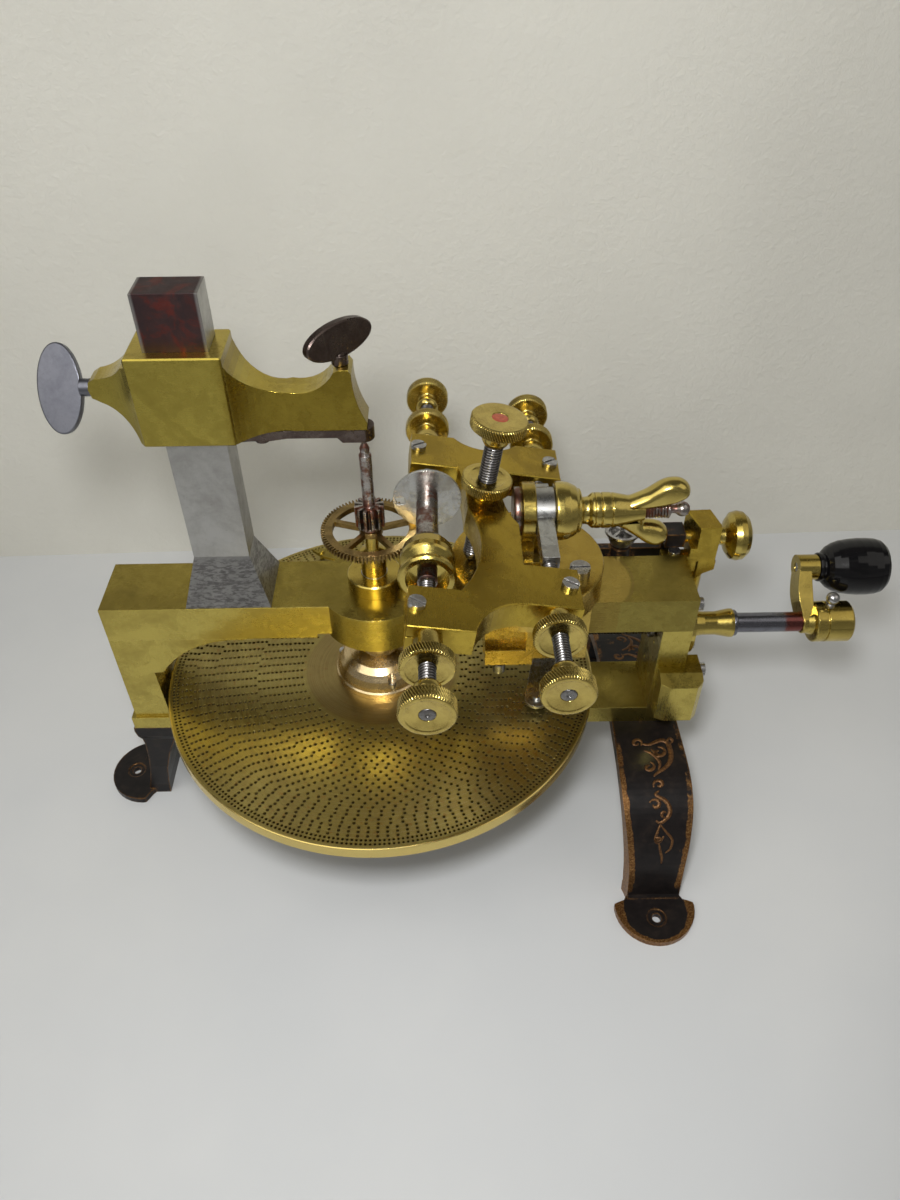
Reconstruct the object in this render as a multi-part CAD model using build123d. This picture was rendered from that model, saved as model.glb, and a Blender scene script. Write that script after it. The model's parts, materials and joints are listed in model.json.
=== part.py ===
from build123d import *
import math
import os

# Bench wheel cutting engine: a dividing plate on a vertical spindle inside a
# closed brass frame, a steadying arm on a steel post, and a feed saddle that
# carries a tilting, swinging cutter frame.  Millimetres, +Z up.
# Working frame while modelling: spindle axis at x = y = 0, top face of the
# dividing plate at z = 0.  Every part is moved once, at export, so that the
# origin lies on the bench under the middle of the engine's box.

# ---- driving dimensions ---------------------------------------------------
SHIFT = (-45.7, 6.4, 85.0)     # modelling frame to stored frame
PLATE_R = 105.0                # dividing plate radius
PLATE_T = 6.6
BAR_W = 32.0                   # width of every frame bar
BAR_Z0, BAR_Z1 = 37.0, 56.2    # top bar, underside and top
FRAME_X0, FRAME_X1 = -123.3, 147.0
LOW_Z0, LOW_Z1 = -27.0, -16.5  # lower bar
BOSS_R = 25.8                  # round boss of the spindle bearing
FOOT_T = 5.0                   # thickness of the cast feet
FOOT_HOLE_R = 2.25
GROUND = -85.0
COL_X0, COL_X1, COL_Y = -77.5, -53.3, 7.2
COL_TOP = 198.6
ARM_Z0, ARM_Z1 = 139.0, 176.4
FEED_Z = 26.5                  # feed screw axis
FEED_R = 4.8
TILT_Z = 96.0                  # tilt axis, along X at y = 0
ROD_R = 4.0                    # wing nut thread
PIV_X, PIV_Z = 74.0, 96.0      # swing axis of the cutter frame, along Y
PITCH = 8.7                    # rest pitch of the cutter frame
ARB_L = 49.6                   # swing axis to cutter arbor
HF_TOP, HF_BOT = 5.5, -6.5     # cutter frame faces about the pivot plane
KNURL_R = 10.1                 # knurled heads of the pivot screws
SCREW_R = 3.25                 # pivot screw thread
RUN = 0.05                     # radial clearance of running fits

OUT = {}


def box(x0, x1, y0, y1, z0, z1):
    return Pos((x0 + x1) / 2, (y0 + y1) / 2, (z0 + z1) / 2) * Box(
        abs(x1 - x0), abs(y1 - y0), abs(z1 - z0))


def cz(x, y, z0, z1, r, r2=None):
    s = Cylinder(r, z1 - z0) if r2 is None else Cone(r, r2, z1 - z0)
    return Pos(x, y, (z0 + z1) / 2) * s


def cx(x0, x1, y, z, r, r2=None):
    s = Cylinder(r, x1 - x0) if r2 is None else Cone(r, r2, x1 - x0)
    return Pos((x0 + x1) / 2, y, z) * Rot(0, 90, 0) * s


def cy(x, y0, y1, z, r, r2=None):
    # r at y0, r2 at y1
    s = Cylinder(r, y1 - y0) if r2 is None else Cone(r, r2, y1 - y0)
    return Pos(x, (y0 + y1) / 2, z) * Rot(-90, 0, 0) * s


def turned(pts, axis="Z", at=(0, 0, 0)):
    """Solid of revolution from (radius, height) points about Z, X or Y."""
    with BuildPart() as p:
        with BuildSketch(Plane.XZ):
            with BuildLine():
                Polyline(*[(r, h) for r, h in pts], close=True)
            make_face()
        revolve(axis=Axis.Z)
    s = p.part
    if axis == "X":
        s = Rot(0, 90, 0) * s
    elif axis == "Y":
        s = Rot(-90, 0, 0) * s
    return Pos(*at) * s


def prism_xz(pts, y0, y1):
    """Polygon in (x, z), extruded from y0 to y1."""
    f = make_face(Polyline(*[(x, y0, z) for x, z in pts], close=True))
    return extrude(f, amount=abs(y1 - y0), dir=(0, 1 if y1 > y0 else -1, 0))


def prism_yz(pts, x0, x1):
    f = make_face(Polyline(*[(x0, y, z) for y, z in pts], close=True))
    return extrude(f, amount=abs(x1 - x0), dir=(1 if x1 > x0 else -1, 0, 0))


def prism_xy(pts, z0, z1):
    f = make_face(Polyline(*[(x, y, z0) for x, y in pts], close=True))
    return extrude(f, amount=z1 - z0, dir=(0, 0, 1))


def arc3(a, m, b, n=10):
    """Points along the circle through a, m, b (2-D), both ends included."""
    ax, ay = a
    bx, by = m
    cx_, cy_ = b
    d = 2 * (ax * (by - cy_) + bx * (cy_ - ay) + cx_ * (ay - by))
    ux = ((ax**2 + ay**2) * (by - cy_) + (bx**2 + by**2) * (cy_ - ay)
          + (cx_**2 + cy_**2) * (ay - by)) / d
    uy = ((ax**2 + ay**2) * (cx_ - bx) + (bx**2 + by**2) * (ax - cx_)
          + (cx_**2 + cy_**2) * (bx - ax)) / d
    r = math.hypot(ax - ux, ay - uy)
    t0 = math.atan2(ay - uy, ax - ux)
    tm = math.atan2(by - uy, bx - ux)
    t1 = math.atan2(cy_ - uy, cx_ - ux)
    two = 2 * math.pi
    ccw = ((tm - t0) % two) < ((t1 - t0) % two)
    span = (t1 - t0) % two if ccw else -((t0 - t1) % two)
    return [(ux + r * math.cos(t0 + span * i / n),
             uy + r * math.sin(t0 + span * i / n)) for i in range(n + 1)]


def through(pts, k=4):
    """Smooth curve through the points (Catmull-Rom), k steps to each span."""
    out = []
    n = len(pts)
    for i in range(n - 1):
        p0, p1, p2, p3 = pts[max(0, i - 1)], pts[i], pts[i + 1], pts[min(n - 1, i + 2)]
        for j in range(k):
            t = j / k
            out.append(tuple(0.5 * (2 * p1[c] + (p2[c] - p0[c]) * t
                                    + (2 * p0[c] - 5 * p1[c] + 4 * p2[c] - p3[c]) * t * t
                                    + (3 * p1[c] - p0[c] - 3 * p2[c] + p3[c]) * t ** 3) for c in (0, 1)))
    out.append(tuple(pts[-1]))
    return out


def soften(s, size, edges):
    try:
        return chamfer(edges, size)
    except Exception:
        return s


def group(*items):
    s = items[0]
    for i in items[1:]:
        s = s + i
    return s


def put(name, shape):
    OUT[name] = shape


# ---- frame ----------------------------------------------------------------
H = BAR_W / 2
# top bar with the round boss that carries the spindle bearing
bar = box(FRAME_X0, FRAME_X1, -H, H, BAR_Z0, BAR_Z1)
bar = bar - box(-27, 27, -H - 1, H + 1, BAR_Z0 - 1, BAR_Z0 + 2.4)
bar = bar + cz(0, 0, BAR_Z0, BAR_Z1, BOSS_R)
bar = soften(bar, 0.5, bar.edges().filter_by_position(Axis.Z, BAR_Z1 - 0.01, BAR_Z1 + 0.01))
bar = bar - cz(0, 0, BAR_Z0 - 1, BAR_Z1 + 1, 9.0)                 # bush seat
bar = bar - cz(-64.5, 0, BAR_Z0 - 1, BAR_Z1 + 1, 4.2)             # post stud
put("frame_top_bar", bar)

# left leg: corner gusset, leg and plinth
leg_pts = [(FRAME_X0, BAR_Z0)] + [(-58.0, BAR_Z0)] + \
    arc3((-62.0, 36.2), (-87.3, 30.2), (-102.5, 15.6), 14) + \
    [(-107.0, 15.0), (-106.0, -16.3), (FRAME_X0, -16.3)]
leg = prism_xz(leg_pts, -H, H)
leg = leg + box(-125.3, -105.6, -H - 1.4, H + 1.4, -24.0, -16.3)
leg = leg - cz(-115.5, 0, -30, -12, 3.0) - cz(-64.5, 0, 30, 38, 7.8)
leg = soften(leg, 0.6, leg.edges().filter_by_position(Axis.Z, -16.31, -16.29))
put("frame_left_leg", leg)

# lower bar, carries the lower pivot of the spindle
low = box(-104.0, 133.0, -H, H, LOW_Z0, LOW_Z1)
low = low + box(-105.6, -104.0, -H, H, -24.0, LOW_Z1)
low = low - cz(0, 0, LOW_Z0 - 1, LOW_Z1 + 1, 5.0 + RUN)
for xx, yy in ((126.0, -8.0), (126.0, 8.0)):
    low = low - cz(xx, yy, LOW_Z0 - 1, LOW_Z0 + 8, 1.8)
put("frame_lower_bar", low)

# right upright
up = box(133.0, FRAME_X1, -H, H, LOW_Z0, BAR_Z0)
up = up - cx(132, 148, 0, FEED_Z, FEED_R + 0.7)
for yy, zz in ((-12.6, 7.6), (-12.6, -6.6)):
    up = up - cx(138, 148, yy, zz, 1.6)
for xx, yy in ((140.0, -8.0), (140.0, 8.0)):
    up = up - cz(xx, yy, LOW_Z0 - 1, LOW_Z0 + 8, 1.8)
for yy, zz in ((-6, 20), (4, 0), (-8, 0)):
    up = up - cx(132.9, 134.5, yy, zz, 1.1)
put("frame_right_upright", up)

# bevelled clamp block on the front of the upright
blk = prism_xy([(134.2, -H), (134.2, -25.5), (138.5, -27.6), (151.6, -27.6),
                (154.6, -24.4), (154.6, -8.6), (FRAME_X1, -8.6), (FRAME_X1, -H)],
               -13.2, 13.6)
blk = blk - prism_yz([(-30, 9.2), (-30, 16), (-20.5, 16), (-20.5, 13.6)], 130, 160)
for yy, zz in ((-12.6, 7.6), (-12.6, -6.6)):
    blk = blk - cx(146, 156, yy, zz, 1.6)
put("upright_clamp_block", blk)

# feet: iron castings.  Profile runs out and down as one curved strap.
FRONT = [(-4.0, -27.0), (-30.0, -27.2), (-46.0, -28.6), (-58.0, -32.4),
         (-67.0, -39.0), (-74.0, -48.5), (-79.0, -60.0), (-81.6, -71.0),
         (-83.4, -79.5)]


def foot_front(sign):
    """Foot that runs out along -Y (sign -1) or +Y (sign +1)."""
    t = 6.2
    prof = through(FRONT, 4)
    n = len(prof)
    low = []
    for i in range(n):
        a = prof[max(0, i - 1)]
        b = prof[min(n - 1, i + 1)]
        dy, dz = b[0] - a[0], b[1] - a[1]
        ln = math.hypot(dy, dz)
        # inward normal points towards the body and down
        low.append((prof[i][0] - dz / ln * t, prof[i][1] - abs(dy) / ln * t))
    low[0] = (-4.0, -27.0 - t)
    outline = prof + [(-84.6, GROUND + FOOT_T - 1.4), (-84.6, GROUND), (-76.8, GROUND), (-76.2, -77.5)] + low[::-1][1:]
    body = prism_yz(outline, 133 - 17.2, 133 + 17.2)
    # plan taper: 33 mm at the frame, 34 at the knee, 25 at the ankle
    plan = through([(-2, 16.4), (-26, 16.7), (-50, 17.2), (-64, 16.6), (-74, 15.0), (-80, 13.4), (-85, 12.7), (-90, 12.6)], 4)
    cut = prism_xy([(133 + w, y) for y, w in plan] + [(133 - w, y) for y, w in plan[::-1]], -90, -20)
    body = body & cut
    pad_pts = [(133 - 12.6, -82.0), (133 - 14.5, -85.0), (133 - 19.4, -87.0)] + \
        arc3((133 - 19.6, -88.5), (133, -107.6), (133 + 19.6, -88.5), 18) + \
        [(133 + 19.4, -87.0), (133 + 14.5, -85.0), (133 + 12.6, -82.0)]
    pad = prism_xy(pad_pts, GROUND, GROUND + FOOT_T - 1.4)
    f = body + pad
    f = f - cz(133, -94.7, GROUND - 1, GROUND + 8, FOOT_HOLE_R)
    f = f - cz(133, -94.7, GROUND + FOOT_T - 1.9, GROUND + 8, 4.6)
    f = f - cz(140.0, -8.0, -40, -20, 1.8) - cz(126.0, -8.0, -40, -20, 1.8)
    if sign > 0:
        f = mirror(f, about=Plane.XZ)
    return f


put("front_foot", foot_front(-1))
put("rear_foot", foot_front(+1))

# left foot: short reach, falls almost straight from the plinth
lf_prof = [(-126.0, -24.0), (-126.3, -27.0), (-125.4, -31.5), (-124.6, -40.0), (-125.6, -52.0),
           (-127.6, -64.0), (-130.0, -74.0), (-131.6, -79.5), (-131.6, GROUND), (-121.0, GROUND), (-120.2, -76.0),
           (-117.6, -62.0), (-113.5, -48.0), (-108.8, -37.0), (-105.8, -31.5), (-105.2, -27.0), (-105.2, -24.0)]
lf = prism_xz(lf_prof, -17.4, 17.4)
lf_plan = [(-24.0, 17.4), (-31.0, 17.2), (-36.0, 14.8), (-60.0, 14.2), (-78.0, 12.6), (-86.0, 12.6)]
lf = lf & prism_yz([(w, z) for z, w in lf_plan] + [(-w, z) for z, w in lf_plan[::-1]], -140, -100)
pad_pts = [(-129.0, -12.6), (-130.5, -14.5), (-133.0, -19.2)] + \
    arc3((-134.5, -19.6), (-154.6, 0.0), (-134.5, 19.6), 18) + \
    [(-133.0, 19.2), (-130.5, 14.5), (-129.0, 12.6)]
lf = lf + prism_xy(pad_pts, GROUND, GROUND + FOOT_T - 1.4)
lf = lf - cz(-141.9, 0, GROUND - 1, GROUND + 8, FOOT_HOLE_R)
lf = lf - cz(-141.9, 0, GROUND + FOOT_T - 1.9, GROUND + 8, 4.6)
lf = lf - cz(-115.5, 0, -36, -20, 3.0)
put("left_foot", lf)

# steel post with a flared foot that stands across the top bar
post = box(COL_X0, COL_X1, -COL_Y, COL_Y, 74.0, COL_TOP)
post = post & (cy(-65.4, -20, 20, 96.0, 103.2) + box(-80, -50, -10, 10, 70, 190))
with BuildPart() as flare:
    with BuildSketch(Plane.XY.offset(BAR_Z1)):
        with Locations((-65.0, 0)):
            Rectangle(38.2, 31.4)
    with BuildSketch(Plane.XY.offset(79.2)):
        with Locations(((COL_X0 + COL_X1) / 2, 0)):
            Rectangle(COL_X1 - COL_X0, 2 * COL_Y)
    loft()
post = post + flare.part
post = soften(post, 1.1, post.edges().filter_by_position(Axis.Z, COL_TOP - 0.6, COL_TOP + 0.1))
post = post - cz(-64.5, 0, BAR_Z1 - 1, BAR_Z1 + 14, 4.2)
put("arm_post", post)

# bearing collar above the boss and its bush
bush = cz(0, 0, BAR_Z0 + 2.4, BAR_Z1, 9.0) + cz(0, 0, BAR_Z1, 63.5, 12.3)
bush = soften(bush, 0.6, bush.edges().filter_by_position(Axis.Z, 63.49, 63.51))
bush = bush - cz(0, 0, 30, 70, 6.0 + RUN)
bush = bush - cz(-7.2, 6.4, 60.5, 64, 1.3)
put("spindle_bush", bush)

# lower pivot screw and its lock nut
lps = cz(0, 0, -45.5, -18.0, 5.0) + turned([(0, -18.0), (5.0, -18.0), (1.2, -13.4), (0, -13.4)])
lps = lps + cz(0, 0, -52.0, -45.5, 10.0)
lps = soften(lps, 0.6, lps.edges().filter_by_position(Axis.Z, -52.01, -51.99))
put("lower_pivot_screw", lps)
lpn = cz(0, 0, -33.2, -27.0, 10.2) - cz(0, 0, -40, -20, 5.0 + RUN)
put("lower_pivot_nut", lpn)

# feed screw bearing on the right end: flange and flared boss
fl = prism_yz(arc3((0.0, 8.5), (12.2, FEED_Z), (0.0, 44.5), 14)
              + arc3((0.0, 44.5), (-12.2, FEED_Z), (0.0, 8.5), 14)[1:-1], FRAME_X1, 150.4)
fl = fl & prism_yz([(-8.5, 8.6), (8.5, 8.6), (13, 20), (13, 46), (-13, 46), (-13, 20), (-8.5, 14.0)], 146, 152)
fl = fl + turned([(0, 0), (6.6, 0), (5.7, 6.0), (5.7, 12.0), (7.0, 18.6), (7.0, 20.0), (0, 20.0)],
                 "X", (150.4, 0, FEED_Z))
fl = fl - cx(140, 180, 0, FEED_Z, FEED_R + RUN)
for zz in (FEED_Z + 13.0, FEED_Z - 13.0):
    fl = fl - cx(146, 152, 0, zz, 1.5)
put("feed_bearing", fl)

# rear bracket with its arched foot, carries both index arms
rb = prism_xy([(151.6, H), (161.4, H), (161.8, 19.0), (159.2, 31.0), (147.6, 30.6)], 52.2, 72.1)
rb = soften(rb, 0.4, rb.edges().filter_by_position(Axis.Z, 72.05, 72.15))
rb = rb + prism_xz([(153.5, 52.2), (161.9, 52.2), (161.9, 47.0), (157.0, 44.6), (153.6, 41.0)], H, 25.0)
rb = rb + box(136.0, 152.6, H, 22.0, 46.0, 55.0) + box(148.6, 156.0, H, 30.0, 52.2, 60.0)
rb = rb - cx(140, 170, 25.0, 60.5, 3.0)
rb = rb + cz(154.5, 22.0, 9.6, 46.5, 4.0) + cz(154.5, 22.0, 1.6, 9.6, 3.0) + cz(154.5, 22.0, 1.6, 3.2, 6.5)
rb = rb - cz(142.0, 19.0, 40, 60, 1.5)
put("rear_bracket", rb)

# fixed steel screws of the frame: feet, block, bearing and bracket
scr = []
for yy, zz in ((-12.6, 7.6), (-12.6, -6.6)):
    scr.append(cx(140, 154.6, yy, zz, 1.6) + cx(154.6, 158.0, yy, zz, 3.3) - box(156.8, 158.2, yy - 4, yy + 4, zz - 0.45, zz + 0.45))
for zz in (FEED_Z + 13.0, FEED_Z - 13.0):
    scr.append(cx(147.2, 150.4, 0, zz, 1.5) + cx(150.4, 154.4, 0, zz, 3.2) - box(153.2, 154.6, -4, 4, zz - 0.45, zz + 0.45))
scr.append(cz(-115.5, 0, -35.9, -12.1, 2.99))
for xx, yy in ((140.0, -8.0), (126.0, -8.0), (140.0, 8.0), (126.0, 8.0)):
    scr.append(cz(xx, yy, -37.3, -19.5, 1.8) + cz(xx, yy, -37.3, -33.5, 3.4))
scr.append(cz(-64.5, 0, BAR_Z0 - 5.0, BAR_Z0, 7.6) + cz(-64.5, 0, BAR_Z0 - 5, BAR_Z1 + 12, 4.2))
scr.append(cz(142.0, 19.0, 47.0, 55.0, 1.5) + cz(142.0, 19.0, 55.0, 57.0, 2.9))
put("frame_screws", group(*scr))

# ---- spindle, plate and work ----------------------------------------------
sp = cz(0, 0, 4.0, 63.5, 6.0) + cz(0, 0, -12.0, 4.0, 8.0)
sp = sp + cz(0, 0, -15.2, -12.0, 7.0)
sp = sp - turned([(0, -19.0), (5.4, -19.0), (5.4, -18.0), (1.3, -13.2), (0, -13.2)])
put("spindle", sp)
pl = cz(0, 0, -PLATE_T, 0, PLATE_R)
pl = soften(pl, 0.5, pl.edges().filter_by_position(Axis.Z, -0.01, 0.01))
pl = pl - cz(0, 0, -20, 10, 8.0)
put("dividing_plate", pl)
hub = turned([(8.0, 0), (22.4, 0), (22.4, 3.2), (21.6, 4.0), (21.2, 6.0), (20.0, 9.2), (18.0, 12.0), (15.2, 14.4),
              (11.6, 16.2), (9.4, 17.2), (9.0, 21.0), (6.0, 21.0), (6.0, 4.0), (8.0, 4.0)])
for k in range(3):
    a = math.radians(168 + 120 * k)
    hub = hub - cz(19.4 * math.cos(a), 19.4 * math.sin(a), -1, 14, 2.0)
put("plate_hub", hub)
hs = []
for k in range(3):
    a = math.radians(168 + 120 * k)
    hs.append(cz(19.4 * math.cos(a), 19.4 * math.sin(a), 0.0, 8.4, 2.0))
put("hub_screws", group(*hs))
sl = turned([(0, 63.5), (5.7, 63.5), (5.7, 75.6), (3.0, 77.2), (3.0, 85.8), (0, 85.8)])
sl = sl - cz(0, 0, 66.0, 90, 2.2)
put("chuck_sleeve", sl)
arb = cz(0, 0, 66.0, 88.6, 2.2) + cz(0, 0, 88.6, 90.4, 4.6) + cz(0, 0, 90.4, 101.0, 6.5) \
    + turned([(0, 101.0), (2.6, 101.0), (2.6, 126.4), (1.9, 127.6), (2.1, 129.4), (0.5, 133.0), (0, 133.0)])
arb = arb + cz(0, 0, 85.8, 88.6, 2.2)
put("work_arbor", arb)
# sample wheel: toothed rim, five crossings, a hub on the arbor
NT = 80
tooth = []
for i in range(NT):
    a0 = 2 * math.pi * i / NT
    for da, r in ((0.30, 20.1), (0.34, 21.9), (0.66, 21.9), (0.70, 20.1)):
        a = a0 + 2 * math.pi / NT * (da)
        tooth.append((r * math.cos(a), r * math.sin(a)))
wh = prism_xy(tooth, 85.9, 88.5) - cz(0, 0, 80, 90, 16.8)
for k in range(5):
    a = 90 + 72 * k
    wh = wh + Rot(0, 0, a) * box(3.0, 17.4, -1.0, 1.0, 85.9, 88.5)
wh = wh + cz(0, 0, 85.9, 88.5, 5.2) - cz(0, 0, 80, 90, 2.2)
put("sample_wheel", wh)

# ---- steady arm -------------------------------------------------------------
right = [(-48.5, ARM_Z1 - 0.6)] + arc3((-48.2, 172.4), (-38.5, 160.9), (-26.0, 158.4), 10) + \
    arc3((-26.0, 158.4), (-15.0, 160.2), (-9.0, 166.4), 8)[1:] + \
    [(-7.0, 167.4), (-3.4, 167.4)] + \
    arc3((-2.2, 165.6), (-1.2, 155.0), (2.6, 144.6), 8) + \
    [(2.2, 141.6), (-30.0, 141.6), (-39.0, 140.6), (-48.5, ARM_Z0 + 0.2)]
arm = prism_xz(right, -12.0, 12.0)
left = [(-84.2, 172.5)] + arc3((-86.5, 171.5), (-91.6, 166.8), (-99.0, 164.6), 8) + \
    [(-101.6, 163.0), (-102.4, 160.0), (-101.6, 156.4)] + \
    arc3((-98.3, 154.7), (-90.4, 149.6), (-85.4, 140.0), 10) + [(-84.2, 139.2)]
arm = arm + prism_xz(left, -12.0, 12.0)
# plan: the waist flares into the sliding box on both sides
flare_r = arc3((-48.0, 11.2), (-41.0, 7.2), (-26.0, 6.0), 10)
flare_l = arc3((-102.5, 4.6), (-95.0, 5.6), (-84.4, 11.4), 10)
plan_up = flare_l + flare_r + [(2.8, 6.0)]
arm = arm & prism_xy(plan_up + [(x, -y) for x, y in plan_up[::-1]], 120, 190)
bx = box(-84.2, -48.2, -12.4, 11.4, ARM_Z0, ARM_Z1)
bx = soften(bx, 0.6, bx.edges())
arm = arm + bx
arm = arm - box(COL_X0 - RUN, COL_X1 + RUN, -COL_Y - RUN, COL_Y + RUN, 130, 190)
arm = arm - cx(-110, -77, 0, 158.6, 2.5 + RUN)
arm = arm - cz(-6.6, 0, 140, 170, 2.4 + RUN)
arm = arm - cz(-40.5, 0, 138.0, 148.0, 1.2)
put("steady_arm", arm)

# left clamp thumbscrew: flat oval wing on a stem along X
th = Pos(-114.4, 0, 158.2) * Rot(-30, 0, 0) * Rot(90, 0, 0) * extrude(Ellipse(8.5, 17.2), amount=1.7, both=True)
th = soften(th, 0.5, th.edges())
th = th + cx(-106.5, -102.6, 0, 158.6, 3.4) + cx(-104, -78.0, 0, 158.6, 2.5)
put("arm_clamp_screw", th)

# runner: dark spring strip under the arm with a centre block at its free end
st = prism_xz([(-48.4, 137.4), (-47.8, 135.9), (-44.4, 136.2), (-36.6, 136.2), (-30.0, 137.2), (-10.0, 137.2), (-8.0, 134.9),
               (0.0, 134.9), (1.4, 136.0), (1.4, 140.6), (-30.0, 140.6), (-39.6, 140.2)], -4.6, 4.6)
st = st + box(-8.0, 0, -4.6, 4.6, 134.9, 140.6) + cz(0, 0, 134.9, 140.6, 4.6)
st = st - turned([(0, 134.0), (3.0, 134.0), (3.0, 134.2), (1.15, 138.8), (0, 138.8)], at=(0, 0, -3.2))
st = st - cz(0, 0, 130, 141.5, 1.2)
st = st - cz(-40.5, 0, 130, 145, 1.25)
put("runner_strip", st)
rsc = cz(-40.5, 0, 136.15, 147.6, 1.2) + cz(-40.5, 0, 134.0, 136.15, 3.0)
put("runner_screw", rsc)

# right thumbscrew: flat oval wing on a vertical stem, turned 44 degrees
th2 = Pos(-6.6, 0, 177.2) * Rot(0, 0, 44) * Rot(90, 0, 0) * extrude(Ellipse(15.6, 7.2), amount=1.7, both=True)
th2 = soften(th2, 0.5, th2.edges())
th2 = th2 + cz(-6.6, 0, 167.6, 171.4, 3.3) + cz(-6.6, 0, 140.75, 172, 2.4)
put("runner_thumbscrew", th2)

# ---- saddle on the top bar ----------------------------------------------
g = 0.06
SAD_X, SAD_R, SAD_TOP = 69.3, 34.5, 70.0     # round top of the saddle
sad = box(50.0, 97.4, -24.0, 19.4, 25.0, 57.0) + box(50.0, 97.4, -9.5, 9.5, 18.6, 25.0)
sad = sad - box(49, 98, -H - g, H + g, BAR_Z0 - g, BAR_Z1 + g)
sad = sad - box(49, 98, -30, -20.2, 34.4, BAR_Z1 + g)       # front cheek is set back
sad = sad - box(72.0, 98, -30, -20.2, 10, 34.4)
sad = sad + box(68.6, 72.0, -24.0, -20.2, 25.0, 57.0)
sad = sad & (box(40, 120, -30, 30, 10, 57.0) - (box(80, 120, -30, 30, 10, 57.0) - cz(SAD_X, 0, 10, 57.0, SAD_R)))
disc = cz(SAD_X, 0, BAR_Z1 + g, SAD_TOP, SAD_R)
disc = soften(disc, 0.5, disc.edges().filter_by_position(Axis.Z, SAD_TOP - 0.01, SAD_TOP + 0.01))
sad = sad + disc
sad = sad - cx(40, 100, 0, FEED_Z, FEED_R + RUN)
sad = sad - cz(91.5, -12.0, 60, 72, 2.2)
sad = sad - cz(57.0, -20.0, 10, 33, 1.8)
sad = sad - cz(51.0, 18.0, 60, 72, 2.2)
for yy in (-7.4, 7.4):
    sad = sad - cz(76.5, yy, 62, 72, 1.5)
put("saddle", sad)
# pillar: ring around the tilt bolt, standing on the saddle
pil = prism_yz([(-9.4, SAD_TOP), (-8.0, 80.0), (-8.6, 88.0), (8.6, 88.0), (8.0, 80.0), (9.4, SAD_TOP)], 65.2, 71.0) + \
    cx(65.2, 71.0, 0, TILT_Z, 12.8) + box(64.0, 79.6, -10.5, 10.5, SAD_TOP, 75.6)
pil = soften(pil, 0.4, pil.edges().filter_by(GeomType.CIRCLE))
pil = pil - cx(60, 90, 0, TILT_Z, 4.5 + RUN)
for yy in (-7.4, 7.4):
    pil = pil - cz(76.5, yy, 60, 80, 1.5)
put("tilt_pillar", pil)
# tilt bolt: broad head, long threaded shank, ball end
tb = cx(61.8, 65.2, 0, TILT_Z, 10.8)
tb = soften(tb, 0.6, tb.edges())
tb = tb + cx(64, 79.2, 0, TILT_Z, 4.5) + cx(79.2, 130.0, 0, TILT_Z, ROD_R) + cx(129.0, 133.6, 0, TILT_Z, 1.8) \
    + Pos(135.2, 0, TILT_Z) * Sphere(3.3)
put("tilt_bolt", tb)
ss = [cz(91.5, -12.0, 61.0, 70.0, 2.2) + cz(91.5, -12.0, 70.0, 74.2, 4.6) - box(86, 98, -12.5, -11.5, 72.9, 75),
      cz(57.0, -20.0, 22.6, 32.0, 1.8) + cz(57.0, -20.0, 17.6, 22.6, 2.9),
      cz(51.0, 18.0, 61.0, 70.0, 2.2) + cz(51.0, 18.0, 70.0, 73.4, 4.2),
      cz(76.5, 7.4, 63.0, 75.6, 1.5) + cz(76.5, 7.4, 75.6, 77.4, 2.7),
      cz(76.5, -7.4, 63.0, 75.6, 1.5) + cz(76.5, -7.4, 75.6, 77.4, 2.7)]
put("saddle_screws", group(*ss))

# conical centre hole, 60 degrees, 4.2 deep, mouth at the origin facing -Z
CENTRE = turned([(0, -0.4), (2.96, -0.4), (2.73, 0), (0.3, 4.2), (0, 4.2)])

# crossbar: steel trunnion on the tilt bolt, its ends take the swing pivots
cb = box(71.2, 78.2, -36.0, 14.6, PIV_Z - 4.0, PIV_Z + 4.0) + cx(71.06, 79.0, 0, TILT_Z, 10.4)
cb = cb - cx(60, 90, 0, TILT_Z, 4.5 + RUN)
cb = cb - Pos(PIV_X, -36.0, PIV_Z) * Rot(-90, 0, 0) * CENTRE
cb = cb - Pos(PIV_X, 14.6, PIV_Z) * Rot(90, 0, 0) * CENTRE
put("crossbar", cb)

# wing nut on the tilt bolt
wn = turned([(0, 0), (12.6, 0), (12.8, 0.6), (12.8, 3.5), (12.3, 6.2), (10.8, 9.2), (9.6, 10.4), (9.6, 11.2), (8.0, 11.8), (6.0, 12.6),
             (6.0, 14.6), (7.4, 16.2), (7.8, 17.2), (7.8, 24.8), (7.3, 27.4), (6.6, 31.0), (5.4, 36.0), (4.9, 39.4), (0, 39.4)],
            "X", (79.2, 0, TILT_Z))
for gx in (17.6, 20.4, 24.8):
    wn = wn - (cx(79.2 + gx - 0.3, 79.2 + gx + 0.3, 0, TILT_Z, 9) - cx(70, 120, 0, TILT_Z, 7.35))
wing_up = [(103.4, 96.0), (103.4, 100.6), (109.0, 101.6), (112.3, 102.6), (118.1, 105.6), (121.9, 108.7), (124.5, 110.6), (127.7, 111.7),
           (131.5, 111.8), (134.5, 110.7), (136.5, 108.4), (137.2, 105.4), (135.8, 102.9), (131.6, 100.5), (126.9, 99.0), (119.0, 97.6), (118.4, 96.0)]
wing_dn = [(103.4, 96.0), (103.4, 90.0), (109.2, 87.6), (111.4, 86.2), (117.1, 81.9), (119.8, 79.6), (122.8, 78.0), (125.8, 77.6), (128.5, 78.6),
           (130.4, 80.8), (130.9, 83.4), (130.0, 86.0), (127.6, 88.2), (124.1, 89.3), (119.0, 89.4), (118.4, 90.6), (118.4, 96.0)]
wn = wn + prism_xz(wing_up, -4.8, 4.8) + prism_xz(wing_dn, -4.8, 4.8)
wn = wn - cx(70, 150, 0, TILT_Z, ROD_R + RUN)
put("wing_nut", wn)

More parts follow.
